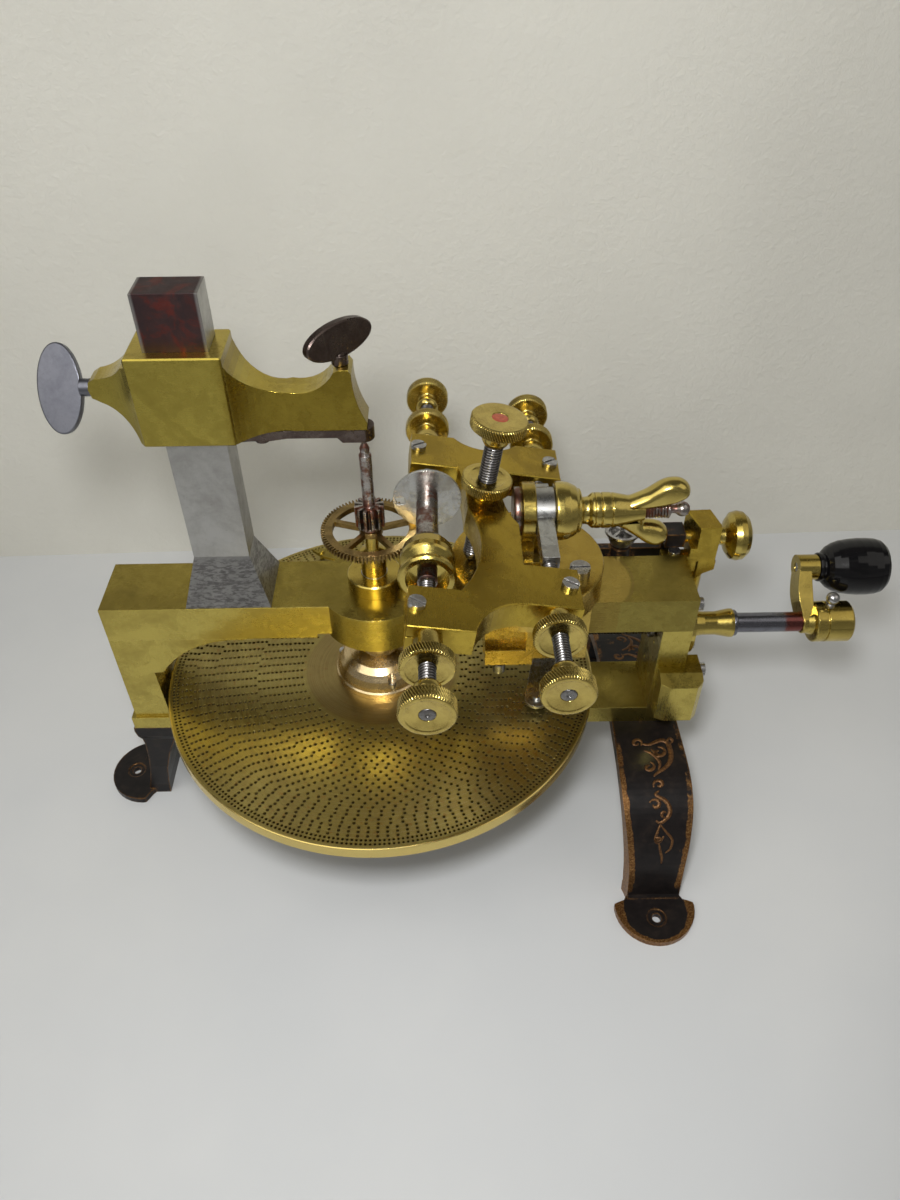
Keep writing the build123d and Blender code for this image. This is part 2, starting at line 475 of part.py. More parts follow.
# ---- feed screw and crank -------------------------------------------------
fs = cx(46.0, 204.0, 0, FEED_Z, FEED_R) + cx(204.0, 226.6, 0, FEED_Z, 3.6) + cx(46.0, 50.0, 0, FEED_Z, 3.0)
fs = fs + cx(170.46, 172.4, 0, FEED_Z, 6.4) + cx(130.2, 132.6, 0, FEED_Z, 6.4)
put("feed_screw", fs)
CR_L, CR_DEG = 26.5, 48.0
CR_A = math.radians(CR_DEG)
GY, GZ = CR_L * math.sin(CR_A), FEED_Z + CR_L * math.cos(CR_A)
# hub: slim collar, groove, then a broad drum
ca = turned([(0, 0), (5.4, 0), (5.7, 0.4), (5.8, 2.4), (6.5, 5.0), (9.4, 5.2), (9.9, 5.7), (9.9, 9.8), (9.3, 10.1), (9.3, 10.8), (9.9, 11.1),
             (9.9, 22.2), (9.2, 23.0), (0, 23.0)], "X", (204.0, 0, FEED_Z))
# arm: bar with a bowed outer face, leaning back; eye for the grip at its end
bow = [(x, z) for z, x in through([(0.0, 204.2), (6.0, 203.0), (13.0, 202.1), (20.0, 202.6), (26.5, 203.8)], 4)]
ca = ca + Pos(0, 0, FEED_Z) * (Rot(-CR_DEG, 0, 0) * prism_xz(bow + [(209.0, 26.5), (209.0, 0.0)], -5.6, 5.6))
ca = ca + cx(203.5, 213.3, GY, GZ, 6.2)
ca = ca - cx(200, 240, 0, FEED_Z, 3.6) - cx(198, 204.0, 0, FEED_Z, FEED_R)
ca = ca - cx(200, 220, GY, GZ, 2.4)
ca = ca - cz(216.0, 0, FEED_Z + 3.0, FEED_Z + 12, 1.5)
put("crank_arm", ca)
ct = cz(216.0, 0, FEED_Z + 3.8, FEED_Z + 13.0, 1.5) + cz(216.0, 0, FEED_Z + 10.0, FEED_Z + 11.6, 2.1) + Pos(216.0, 0, FEED_Z + 15.0) * Sphere(3.1)
put("crank_set_screw", ct)
gp = cx(203.9, 243.0, GY, GZ, 2.4) + cx(243.0, 244.2, GY, GZ, 4.0)
put("grip_pin", gp)
gr = turned([(0, 0), (6.8, 0), (7.1, 0.5), (7.1, 1.3), (6.2, 2.0), (6.6, 2.6), (8.4, 3.3), (10.2, 4.9), (11.7, 7.4), (12.8, 10.4), (13.5, 14.6),
             (13.9, 19.0), (13.9, 23.4), (13.6, 27.0), (12.9, 29.6), (11.6, 31.2), (9.6, 32.1), (7.4, 32.4), (0, 32.4)], "X", (213.6, GY, GZ))
gr = gr - cx(200, 250, GY, GZ, 2.4 + RUN) - cx(242.8, 260, GY, GZ, 4.4)
put("crank_grip", gr)

# ---- cutter frame (own frame: swing axis along Y at the origin) -----------
def place(s):
    return Pos(PIV_X, 0, PIV_Z) * Rot(0, PITCH, 0) * s


BACK0, BACK1 = 17.5, 41.5
hf_out = [(-57.5, BACK1), (-38.0, BACK1)] + arc3((-38.0, BACK1), (-24.0, 34.2), (-9.5, 41.0), 12)[1:] + \
    [(9.5, 41.0), (9.5, BACK0), (-13.5, BACK0)] + arc3((-13.5, BACK0), (-17.2, 15.0), (-18.0, 10.5), 5)[1:] + \
    [(-18.0, 2.0)] + arc3((-18.0, 2.0), (-16.0, -10.0), (-12.0, -18.0), 5)[1:] + \
    [(-12.0, -43.5), (9.5, -43.5), (9.5, -66.5), (-11.4, -66.5)] + \
    arc3((-11.4, -66.5), (-26.4, -72.4), (-32.5, -84.0), 12)[1:] + \
    [(-57.5, -84.0), (-57.5, -62.0), (-37.5, -62.0)] + \
    arc3((-37.5, -62.0), (-29.6, -43.0), (-33.4, -11.0), 14)[1:] + \
    arc3((-33.4, -11.0), (-34.2, 4.0), (-36.5, BACK0), 5)[1:] + [(-57.5, BACK0)]
hf = prism_xy(hf_out, HF_BOT, HF_TOP)
hf = soften(hf, 0.4, hf.edges().filter_by_position(Axis.Z, HF_TOP - 0.01, HF_TOP + 0.01))
# pivot bores, split ends and clamp screw holes
for lx in (-ARB_L, 0.0):
    hf = hf - cy(lx, -90, 50, 0, SCREW_R + RUN)
hf = hf - box(-58, -ARB_L + 5, -90, 50, -0.3, 0.3)
hf = hf - box(-5, 10, -90, 50, -0.3, 0.3)
CL = [(-54.3, 30.0), (-54.3, -72.5), (5.2, 28.5), (5.2, -54.0)]
for lx, yy in CL:
    hf = hf - cz(lx, yy, -10, 10, 1.1)
hf = hf - cz(-26.0, 0, -10, 10, 4.0 + RUN)                # stop screw bore
put("cutter_frame", place(hf))
cs = []
for lx, yy in CL:
    s = cz(lx, yy, HF_BOT, HF_TOP, 1.1) + cz(lx, yy, HF_TOP, HF_TOP + 1.9, 3.4)
    s = s - Pos(lx, yy, HF_TOP + 1.9) * Rot(0, 0, 35 if yy > 0 else -28) * Box(9, 0.9, 1.8)
    cs.append(place(s))
put("clamp_screws", group(*cs))


def pivot_screw(lx, face, sgn, gaps, tip):
    """Knurled pivot screw outward from a frame face at y = face.
    gaps: (nut collar, nut disc, bare thread, head collar, head disc)."""
    a, b, c, d_, e = gaps
    y0 = face + sgn * (a + b + c)
    y1 = y0 + sgn * d_
    y2 = y1 + sgn * e
    lo, hi = sorted((tip, y0))
    s = cy(lx, lo, hi, 0, SCREW_R)
    # pointed end
    t = turned([(0, 0), (SCREW_R, 0), (0.3, 5.1), (0, 5.1)])
    s = s + Pos(lx, tip, 0) * (Rot(90, 0, 0) if sgn > 0 else Rot(-90, 0, 0)) * t      # point runs towards the middle
    hd = turned([(0, 0), (4.0, 0), (5.2, 1.6), (5.2, 3.6), (3.6, d_ - 1.0), (4.2, d_), (KNURL_R - 0.5, d_),
                 (KNURL_R, d_ + 0.5), (KNURL_R, d_ + e - 0.8), (KNURL_R - 0.5, d_ + e), (8.0, d_ + e), (3.0, d_ + e - 0.9), (0, d_ + e - 0.9)])
    s = s + Pos(lx, y0, 0) * (Rot(-90, 0, 0) if sgn > 0 else Rot(90, 0, 0)) * hd
    return place(s)


def pivot_nut(lx, face, sgn, gaps):
    a, b = gaps[0], gaps[1]
    nt = turned([(0, 0), (5.4, 0), (5.6, 1.0), (5.6, a - 3.0), (3.9, a - 1.2), (4.4, a), (KNURL_R - 0.5, a), (KNURL_R, a + 0.5),
                 (KNURL_R, a + b - 0.6), (KNURL_R - 0.5, a + b), (8.2, a + b), (4.6, a + b - 1.0), (0, a + b - 1.0)])
    nt = nt - cz(0, 0, -5, 60, SCREW_R + RUN)
    return place(Pos(lx, face, 0) * (Rot(-90, 0, 0) if sgn > 0 else Rot(90, 0, 0)) * nt)


G_FL = (10.6, 5.0, 6.8, 8.0, 6.0)
G_BL = (11.0, 5.0, 14.5, 8.0, 6.0)
G_FR = (7.4, 5.0, 13.4, 8.0, 6.0)
G_BR = (8.8, 5.4, 12.6, 8.0, 6.0)
ARB_F, ARB_B = -54.0, 12.6             # ends of the cutter arbor
put("cutter_pivot_screw_front", pivot_screw(-ARB_L, -84.0, -1, G_FL, ARB_F - 1.0))
put("cutter_pivot_nut_front", pivot_nut(-ARB_L, -84.0, -1, G_FL))
put("cutter_pivot_screw_back", pivot_screw(-ARB_L, BACK1, 1, G_BL, ARB_B + 1.0))
put("cutter_pivot_nut_back", pivot_nut(-ARB_L, BACK1, 1, G_BL))
put("swing_pivot_screw_front", pivot_screw(0, -66.5, -1, G_FR, -37.0))
put("swing_pivot_nut_front", pivot_nut(0, -66.5, -1, G_FR))
put("swing_pivot_screw_back", pivot_screw(0, 41.0, 1, G_BR, 15.6))
put("swing_pivot_nut_back", pivot_nut(0, 41.0, 1, G_BR))
# stop screw and lock nut
# its rounded point rests on the saddle's top
stp = cz(0, 0, -26.6, 32.0, 4.0) + Pos(0, 0, -26.6) * (Sphere(3.6) & box(-5, 5, -5, 5, -5, 0.0))
stp = stp + turned([(0, 31.0), (4.6, 31.0), (5.8, 33.0), (5.8, 35.6), (4.4, 37.4), (5.0, 38.4), (11.1, 38.4), (11.6, 38.9),
                    (11.6, 42.9), (11.1, 43.4), (0, 43.4)])
put("stop_screw", place(Pos(-26.0, 0, 0) * stp))
stn = turned([(0, HF_TOP), (5.6, HF_TOP), (5.6, 7.6), (4.8, 8.6), (5.2, 9.5), (10.2, 9.5), (10.7, 10.0), (10.7, 14.0), (10.2, 14.5), (0, 14.5)])
stn = stn - cz(0, 0, 0, 20, 4.0 + RUN)
put("stop_nut", place(Pos(-26.0, 0, 0) * stn))

# ---- cutter arbor ---------------------------------------------------------
ax = turned([(0, ARB_F), (3.9, ARB_F), (3.9, -47.0), (3.2, -47.0), (3.2, -30.0), (4.6, -30.0), (4.6, -0.6), (3.2, -0.6), (3.2, ARB_B),
             (0, ARB_B)])
ax = Rot(-90, 0, 0) * ax
ax = ax - Pos(0, ARB_F, 0) * Rot(-90, 0, 0) * CENTRE
ax = ax - Pos(0, ARB_B, 0) * Rot(90, 0, 0) * CENTRE
put("cutter_arbor", place(Pos(-ARB_L, 0, 0) * ax))
cd = cy(0, -0.6, 0.6, 0, 14.6) - cy(0, -2, 2, 0, 3.2)
cd = cd - Rot(0, -12, 0) * box(-13.4, -9.6, -2, 2, -1.9, 1.9)
put("cutter_disc", place(Pos(-ARB_L, 0, 0) * cd))
pu = turned([(0, -47.0), (7.6, -47.0), (8.6, -52.4), (10.6, -52.4), (11.5, -51.6), (11.5, -50.2), (10.4, -49.2), (8.0, -47.2), (8.0, -45.8), (10.4, -43.9),
             (11.0, -43.0), (11.0, -40.6), (10.2, -36.2), (8.2, -32.6), (6.0, -30.0), (0, -30.0)])
pu = pu - cz(0, 0, -60, -46.9, 3.95) - cz(0, 0, -60, -20, 3.2)
put("drive_pulley", place(Pos(-ARB_L, 0, 0) * Rot(-90, 0, 0) * pu))
ac = turned([(3.2, 0.6), (8.2, 0.6), (8.2, 2.6), (6.6, 3.6), (6.6, 7.6), (7.8, 8.4), (7.8, 10.2), (3.2, 10.2)])
put("arbor_collar", place(Pos(-ARB_L, 0, 0) * Rot(-90, 0, 0) * ac))

# ---- index arms ---------------------------------------------------------
# long rear index arm: hub on the bracket post, strip over the plate, pin
IX, IY = -37.0, 84.5
a = math.atan2(IY - 22.0, IX - 154.5)
L = math.hypot(IX - 154.5, IY - 22.0)
ia = cz(154.5, 22.0, 3.4, 9.2, 7.0)
strip_pts = [(4, 5.4), (30, 5.0), (L - 14, 4.0), (L - 2, 3.4), (L + 5.6, 0.0), (L - 2, -3.4), (L - 14, -4.0), (30, -5.0), (4, -5.4)]
ca_, sa_ = math.cos(a), math.sin(a)
ia = ia + prism_xy([(154.5 + u * ca_ - v * sa_, 22.0 + u * sa_ + v * ca_) for u, v in strip_pts], 3.6, 5.4)
ia = ia + cz(IX, IY, 0.4, 3.8, 1.2) + cz(IX, IY, 3.6, 6.4, 1.9)
ia = ia - cz(154.5, 22.0, 0, 20, 3.0 + RUN)
put("index_arm", ia)

# knob that clamps the detent arm on the bracket
kb = turned([(0, -6.2), (3.0 - RUN, -6.2), (3.0 - RUN, 13.1), (4.6, 13.1), (4.2, 15.0), (4.6, 17.4), (8.4, 18.6), (11.2, 20.6), (12.0, 23.2), (11.6, 25.8),
             (9.6, 28.2), (6.0, 29.8), (0, 30.4)], "X", (148.6, 25.0, 60.5))
put("bracket_knob", kb)

# detent arm: blackened iron, runs behind the bar, drops to the plate
da = box(84.0, 146.4, 27.0, 31.0, 45.0, 52.0) + box(137.5, 146.9, 21.0, 31.0, 57.0, 64.5) \
    + box(137.5, 146.4, 27.0, 31.0, 45.0, 62.0) + cz(118.0, 28.6, 44.0, 53.0, 5.0)
da = da + box(84.0, 92.0, 27.0, 31.0, 8.4, 52.0) + box(83.0, 93.0, 24.0, 34.0, 6.0, 8.6)
da = da - cx(130, 150, 25.0, 60.5, 3.0 + RUN) - cz(118.0, 28.6, 40, 60, 2.0 + RUN)
put("detent_arm", da)
db = prism_xy([(69.6, -26.0), (80.2, -30.0), (92.8, 24.0), (92.8, 34.0), (83.2, 34.0)], 4.2, 6.0) + cz(75.0, -28.0, 4.2, 6.0, 5.6)
db = db + cz(75.0, -28.0, 0.4, 4.4, 1.2) + cz(75.0, -28.0, 5.8, 7.6, 1.8)
put("detent_blade", db)
# micrometer screw of the detent arm: cup head with a spoked star on top
ms = cz(118.0, 28.6, 20.0, 53.4, 2.0) + turned([(0, 53.2), (3.0, 53.2), (5.4, 55.0), (6.6, 57.4), (6.6, 60.4), (5.4, 60.8), (2.0, 57.6), (0, 57.6)], at=(118.0, 28.6, 0))
ms = ms + cz(118.0, 28.6, 57.0, 66.5, 1.1)
ring = cz(118.0, 28.6, 61.0, 62.4, 8.4) - cz(118.0, 28.6, 60, 63, 6.9)
for k in range(4):
    ring = ring + Pos(118.0, 28.6, 0) * Rot(0, 0, 45 + 90 * k) * box(0.6, 7.4, -0.7, 0.7, 61.0, 62.4)
ms = ms + ring
put("micrometer_screw", ms)

# ---- export ---------------------------------------------------------------
os.makedirs("parts", exist_ok=True)
lo = [1e9] * 3
hi = [-1e9] * 3
for name, shape in OUT.items():
    s = Pos(*SHIFT) * shape
    if not isinstance(s, Compound) or isinstance(s, Part):
        s = Part(s.wrapped) if not isinstance(s, Part) else s
    s.label = name
    export_step(s, "parts/%s.step" % name)
    b = s.bounding_box()
    for i, (p, q) in enumerate(((b.min.X, b.max.X), (b.min.Y, b.max.Y), (b.min.Z, b.max.Z))):
        lo[i] = min(lo[i], p)
        hi[i] = max(hi[i], q)
print("nodes", len(OUT))
print("box", [round(v, 2) for v in lo], [round(v, 2) for v in hi],
      "centre", round((lo[0] + hi[0]) / 2, 3), round((lo[1] + hi[1]) / 2, 3))
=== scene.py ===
import bpy
import json
import math
import random
from mathutils import Matrix, Vector

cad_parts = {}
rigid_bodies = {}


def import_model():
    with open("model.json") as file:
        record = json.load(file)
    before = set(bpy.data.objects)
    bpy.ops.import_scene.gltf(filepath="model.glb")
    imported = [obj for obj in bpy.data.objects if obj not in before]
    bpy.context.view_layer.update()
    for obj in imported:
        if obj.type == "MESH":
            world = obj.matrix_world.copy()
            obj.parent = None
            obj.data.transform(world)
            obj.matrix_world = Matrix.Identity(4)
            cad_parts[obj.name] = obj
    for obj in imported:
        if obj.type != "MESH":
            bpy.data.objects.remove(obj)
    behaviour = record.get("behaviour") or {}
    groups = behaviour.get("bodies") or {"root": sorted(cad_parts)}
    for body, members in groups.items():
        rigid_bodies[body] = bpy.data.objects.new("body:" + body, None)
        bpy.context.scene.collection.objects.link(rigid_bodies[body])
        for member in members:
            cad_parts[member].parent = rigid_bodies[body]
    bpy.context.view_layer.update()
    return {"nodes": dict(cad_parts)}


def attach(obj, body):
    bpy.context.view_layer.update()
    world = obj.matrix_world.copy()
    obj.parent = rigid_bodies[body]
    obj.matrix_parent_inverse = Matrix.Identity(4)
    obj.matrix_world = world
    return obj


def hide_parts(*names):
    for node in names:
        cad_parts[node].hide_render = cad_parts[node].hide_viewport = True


for o in list(bpy.data.objects):
    bpy.data.objects.remove(o, do_unlink=True)

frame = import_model()
NODES = frame["nodes"]
sc = bpy.context.scene
random.seed(7)

# ---------------------------------------------------------------------------
# frames: modelling millimetres (spindle axis at x = y = 0, plate top z = 0)
# ---------------------------------------------------------------------------
SX, SY, SZ = -45.7, 6.4, 85.0
MM = 0.001
TO_ROW = Matrix.Translation((SX * MM, SY * MM, SZ * MM)) @ Matrix.Scale(MM, 4)
CUT = Matrix.Translation((74.0, 0, 96.0)) @ Matrix.Rotation(math.radians(8.7), 4, "Y")


def P(x, y, z):
    return TO_ROW @ Vector((x, y, z))


# ---------------------------------------------------------------------------
# mesh helpers
# ---------------------------------------------------------------------------
def mesh_obj(name, verts, faces, m=None, smooth=True, angle=32.0, local=None, cut=None):
    """verts in modelling mm (or in the cutter frame's own mm with local=CUT)."""
    mat = TO_ROW @ local if local is not None else TO_ROW
    me = bpy.data.meshes.new(name)
    me.from_pydata([tuple(mat @ Vector(v)) for v in verts], [], faces)
    me.validate()
    me.update()
    if cut and len(cut) == len(me.vertices):
        at = me.attributes.new("cut", "FLOAT", "POINT")
        at.data.foreach_set("value", cut)
    if smooth:
        me.shade_smooth()
        me.set_sharp_from_angle(angle=math.radians(angle))
    ob = bpy.data.objects.new(name, me)
    sc.collection.objects.link(ob)
    if m is not None:
        me.materials.append(m)
    return ob


def axis_frame(axis):
    a = Vector(axis).normalized()
    ref = Vector((0, 0, 1)) if abs(a.z) < 0.9 else Vector((1, 0, 0))
    u = ref.cross(a).normalized()
    v = a.cross(u)
    return a, u, v


def tri(t):
    t = t % 1.0
    return 1.0 - abs(2.0 * t - 1.0)


def lathe(name, rows, origin, axis, m, segs=96, local=None, angle=32.0):
    """rows: (radius, height) or (radius, height, fn) where fn(theta) gives a radius."""
    a, u, v = axis_frame(axis)
    o = Vector(origin)
    verts, loops, cut = [], [], []
    for row in rows:
        r, h = row[0], row[1]
        fn = row[2] if len(row) > 2 else None
        if r <= 1e-6 and fn is None:
            loops.append([len(verts)])
            verts.append(tuple(o + a * h))
            cut.append(0.0)
            continue
        idx = []
        for i in range(segs):
            t = 2 * math.pi * i / segs
            rr = fn(t) if fn else r
            idx.append(len(verts))
            cut.append(max(0.0, r - rr) if fn else 0.0)
            verts.append(tuple(o + a * h + (u * math.cos(t) + v * math.sin(t)) * rr))
        loops.append(idx)
    faces = []
    for A, B in zip(loops, loops[1:]):
        if len(A) == 1 and len(B) == 1:
            continue
        for i in range(segs):
            j = (i + 1) % segs
            if len(A) == 1:
                faces.append((A[0], B[j], B[i]))
            elif len(B) == 1:
                faces.append((A[i], A[j], B[0]))
            else:
                faces.append((A[i], A[j], B[j], B[i]))
    return mesh_obj(name, verts, faces, m, True, angle, local, cut)


def knurl_rows(r, h0, h1, n=60, depth=0.74, slant=2.2, rows=10):
    out = []
    for k in range(rows + 1):
        h = h0 + (h1 - h0) * k / rows
        s = slant * (h - h0) / (h1 - h0)
        d = depth

        def fn(t, s=s, d=d):
            return r + 0.10 - d * (1.0 - math.sin(0.5 * math.pi * tri(n * t / (2 * math.pi) + s)))
        out.append((r, h, fn))
    return out


def thread_rows(r, h0, h1, pitch=1.0, depth=0.45, per=6, hand=1):
    out = []
    n = max(2, int(abs(h1 - h0) / pitch * per))
    for k in range(n + 1):
        h = h0 + (h1 - h0) * k / n
        e = min(1.0, k / per, (n - k) / per)

        def fn(t, h=h, e=e):
            return r - depth * e * (1.0 - tri(h / pitch - hand * t / (2 * math.pi)))
        out.append((r, h, fn))
    return out


def fillet(pts, r=0.6, n=3):
    """Rounds the corners of a lathe profile a little."""
    out = [pts[0]]
    for i in range(1, len(pts) - 1):
        p = Vector((pts[i][0], pts[i][1]))
        a = Vector((pts[i - 1][0], pts[i - 1][1])) - p
        b = Vector((pts[i + 1][0], pts[i + 1][1])) - p
        la, lb = a.length, b.length
        if la < 1e-6 or lb < 1e-6:
            continue
        c = min(r, la * 0.42, lb * 0.42)
        q0, q1 = p + a / la * c, p + b / lb * c
        for k in range(n + 1):
            t = k / n
            q = (q0 * (1 - t) ** 2) + (p * 2 * t * (1 - t)) + (q1 * t * t)
            out.append((max(q.x, 0.0), q.y))
    out.append(pts[-1])
    return out


def ring(name, r0, r1, h0, h1, origin, axis, m, segs=96, local=None):
    rows = [(r0, h0), (r1, h0), (r1, h1), (r0, h1), (r0, h0)]
    return lathe(name, rows, origin, axis, m, segs, local)


# ---------------------------------------------------------------------------
# node helper
# ---------------------------------------------------------------------------
class Mat:
    def __init__(self, name):
        self.m = bpy.data.materials.new(name)
        self.m.use_nodes = True
        self.t = self.m.node_tree
        self.t.nodes.clear()
        self.out = self.t.nodes.new("ShaderNodeOutputMaterial")
        self.b = self.t.nodes.new("ShaderNodeBsdfPrincipled")
        self.t.links.new(self.b.outputs[0], self.out.inputs[0])
        tc = self.t.nodes.new("ShaderNodeTexCoord")
        mp = self.t.nodes.new("ShaderNodeMapping")
        mp.vector_type = "POINT"
        mp.inputs["Scale"].default_value = (1000, 1000, 1000)
        mp.inputs["Location"].default_value = (-SX, -SY, -SZ)
        self.t.links.new(tc.outputs["Object"], mp.inputs["Vector"])
        self.co = mp.outputs[0]          # modelling millimetres

    def link(self, a, b):
        self.t.links.new(a, b)

    def sep(self, vec=None):
        n = self.t.nodes.new("ShaderNodeSeparateXYZ")
        self.link(vec or self.co, n.inputs[0])
        return n.outputs[0], n.outputs[1], n.outputs[2]

    def comb(self, x, y, z):
        n = self.t.nodes.new("ShaderNodeCombineXYZ")
        for i, s in enumerate((x, y, z)):
            if isinstance(s, (int, float)):
                n.inputs[i].default_value = s
            else:
                self.link(s, n.inputs[i])
        return n.outputs[0]

    def math(self, op, a, b=None, c=None, clamp=False):
        n = self.t.nodes.new("ShaderNodeMath")
        n.operation = op
        n.use_clamp = clamp
        for i, s in enumerate((a, b, c)):
            if s is None:
                continue
            if isinstance(s, (int, float)):
                n.inputs[i].default_value = s
            else:
                self.link(s, n.inputs[i])
        return n.outputs[0]

    def noise(self, scale, detail=5.0, rough=0.55, vec=None, stretch=None, distort=0.0, off=None):
        v = vec or self.co
        if stretch is not None or off is not None:
            mp = self.t.nodes.new("ShaderNodeMapping")
            mp.inputs["Scale"].default_value = stretch or (1, 1, 1)
            mp.inputs["Location"].default_value = off or (0, 0, 0)
            self.link(v, mp.inputs[0])
            v = mp.outputs[0]
        n = self.t.nodes.new("ShaderNodeTexNoise")
        n.inputs["Scale"].default_value = scale
        n.inputs["Detail"].default_value = detail
        n.inputs["Roughness"].default_value = rough
        n.inputs["Distortion"].default_value = distort
        self.link(v, n.inputs["Vector"])
        return n.outputs[0]

    def ramp(self, fac, stops, interp="LINEAR"):
        n = self.t.nodes.new("ShaderNodeValToRGB")
        n.color_ramp.interpolation = interp
        el = n.color_ramp.elements
        while len(el) < len(stops):
            el.new(0.5)
        for e, (p, c) in zip(el, stops):
            e.position = p
            if isinstance(c, (int, float)):
                c = (c, c, c)
            e.color = (c[0], c[1], c[2], 1)
        self.link(fac, n.inputs[0])
        return n.outputs[0]

    def mix(self, fac, a, b, mode="MIX"):
        n = self.t.nodes.new("ShaderNodeMix")
        n.data_type = "RGBA"
        n.blend_type = mode
        n.clamp_result = False
        if isinstance(fac, (int, float)):
            n.inputs[0].default_value = fac
        else:
            self.link(fac, n.inputs[0])
        for i, s in ((6, a), (7, b)):
            if isinstance(s, (tuple, list)):
                n.inputs[i].default_value = (s[0], s[1], s[2], 1)
            else:
                self.link(s, n.inputs[i])
        return n.outputs[2]

    def smooth(self, v, lo, hi, a=0.0, b=1.0):
        n = self.t.nodes.new("ShaderNodeMapRange")
        n.interpolation_type = "SMOOTHSTEP"
        n.inputs[1].default_value = lo
        n.inputs[2].default_value = hi
        n.inputs[3].default_value = a
        n.inputs[4].default_value = b
        self.link(v, n.inputs[0])
        return n.outputs[0]

    def normal_z(self):
        g = self.t.nodes.new("ShaderNodeNewGeometry")
        s = self.t.nodes.new("ShaderNodeSeparateXYZ")
        self.link(g.outputs["Normal"], s.inputs[0])
        return s.outputs

    def edge(self, radius=0.5, lo=0.02, hi=0.22):
        """1 near sharp edges, 0 on open faces."""
        bv = self.t.nodes.new("ShaderNodeBevel")
        bv.samples = 4
        bv.inputs[0].default_value = radius * MM
        g = self.t.nodes.new("ShaderNodeNewGeometry")
        d = self.t.nodes.new("ShaderNodeVectorMath")
        d.operation = "DOT_PRODUCT"
        self.link(bv.outputs[0], d.inputs[0])
        self.link(g.outputs["True Normal"], d.inputs[1])
        k = self.math("SUBTRACT", 1.0, d.outputs["Value"])
        return self.smooth(k, lo, hi)

    def bump(self, height, strength=0.2, dist=0.05, base=None):
        n = self.t.nodes.new("ShaderNodeBump")
        n.inputs["Strength"].default_value = strength
        n.inputs["Distance"].default_value = dist * MM
        self.link(height, n.inputs["Height"])
        if base is not None:
            self.link(base, n.inputs["Normal"])
        return n.outputs[0]

    def round_normal(self, radius):
        bv = self.t.nodes.new("ShaderNodeBevel")
        bv.samples = 4
        bv.inputs[0].default_value = radius * MM
        return bv.outputs[0]


GRAINS = {"x": (0.25, 9, 9), "y": (9, 0.25, 9), "z": (9, 9, 0.25), None: (1.6, 1.6, 1.6)}


def metal(name, base, dark, rough=0.22, rvar=0.12, tarnish=0.5, blotch=0.05, grain=None,
          grain_bump=0.10, round_r=0.35, spots=0.25, spot_col=None, light=None, extra=None, top=1.0):
    """Polished or worn metal: blotchy tarnish, fine scratches, grain and soft edges; painted shade in knurl and thread
    grooves; painted shade (top below 1) or painted highlight (top above 1) on upward faces.
    """
    k = Mat(name)
    big = k.noise(blotch, 6, 0.6, distort=0.8)
    mid = k.noise(blotch * 6, 5, 0.62)
    fine = k.noise(2.2, 3, 0.6)
    f = k.math("ADD", k.math("MULTIPLY", big, 0.7), k.math("MULTIPLY", mid, 0.3))
    f = k.smooth(f, 0.36, 0.68)
    col = k.mix(k.math("MULTIPLY", f, tarnish), base, dark)
    sp = k.smooth(k.noise(0.55, 4, 0.7, off=(31, 7, 3)), 0.60, 0.74)
    col = k.mix(k.math("MULTIPLY", sp, spots), col, spot_col or tuple(c * 0.45 for c in dark))
    g = k.noise(1.0, 4, 0.7, stretch=GRAINS[grain])
    col = k.mix(k.math("MULTIPLY", k.smooth(g, 0.35, 0.75), 0.22), col, tuple(c * 0.72 for c in base))
    # painted light: upward faces scaled by top, painted shade below 1 and painted highlight above 1
    if top != 1.0:
        painted_top_light = k.math("MULTIPLY", k.smooth(k.normal_z()[2], 0.55, 0.92), k.smooth(mid, 0.30, 0.70, 1.0, 0.72))
        col = k.mix(painted_top_light, col, k.mix(1.0, col, (top * 1.02, top * 0.96, top * 0.78), "MULTIPLY"))
    e = k.edge(0.45)
    col = k.mix(k.math("MULTIPLY", e, 0.42), col, light or tuple(min(1, c * 1.2) for c in base))
    r = k.math("ADD", rough - rvar * 0.5, k.math("MULTIPLY", f, rvar))
    r = k.math("ADD", r, k.math("MULTIPLY", k.smooth(g, 0.4, 0.8), rvar * 0.8))
    r = k.math("ADD", r, k.math("MULTIPLY", k.smooth(fine, 0.5, 0.8), 0.05))
    # painted shade: colour darkened down in knurl and thread grooves, by the cut depth
    at = k.t.nodes.new("ShaderNodeAttribute")
    at.attribute_name = "cut"
    painted_groove_shade = k.smooth(at.outputs["Fac"], 0.06, 0.42)
    col = k.mix(k.math("MULTIPLY", painted_groove_shade, 0.86), col, tuple(c * 0.22 for c in dark))
    r = k.math("ADD", r, k.math("MULTIPLY", painted_groove_shade, 0.12))
    nb = k.round_normal(round_r)
    if extra is not None:
        col, r = extra(k, col, r)
    n1 = k.bump(g, grain_bump, 0.02, nb)
    n2 = k.bump(mid, 0.10, 0.10, n1)
    k.link(col, k.b.inputs["Base Color"])
    k.link(r, k.b.inputs["Roughness"])
    k.link(n2, k.b.inputs["Normal"])
    k.b.inputs["Metallic"].default_value = 1.0
    return k.m


BR = (0.56, 0.455, 0.115)
BRD = (0.27, 0.195, 0.045)


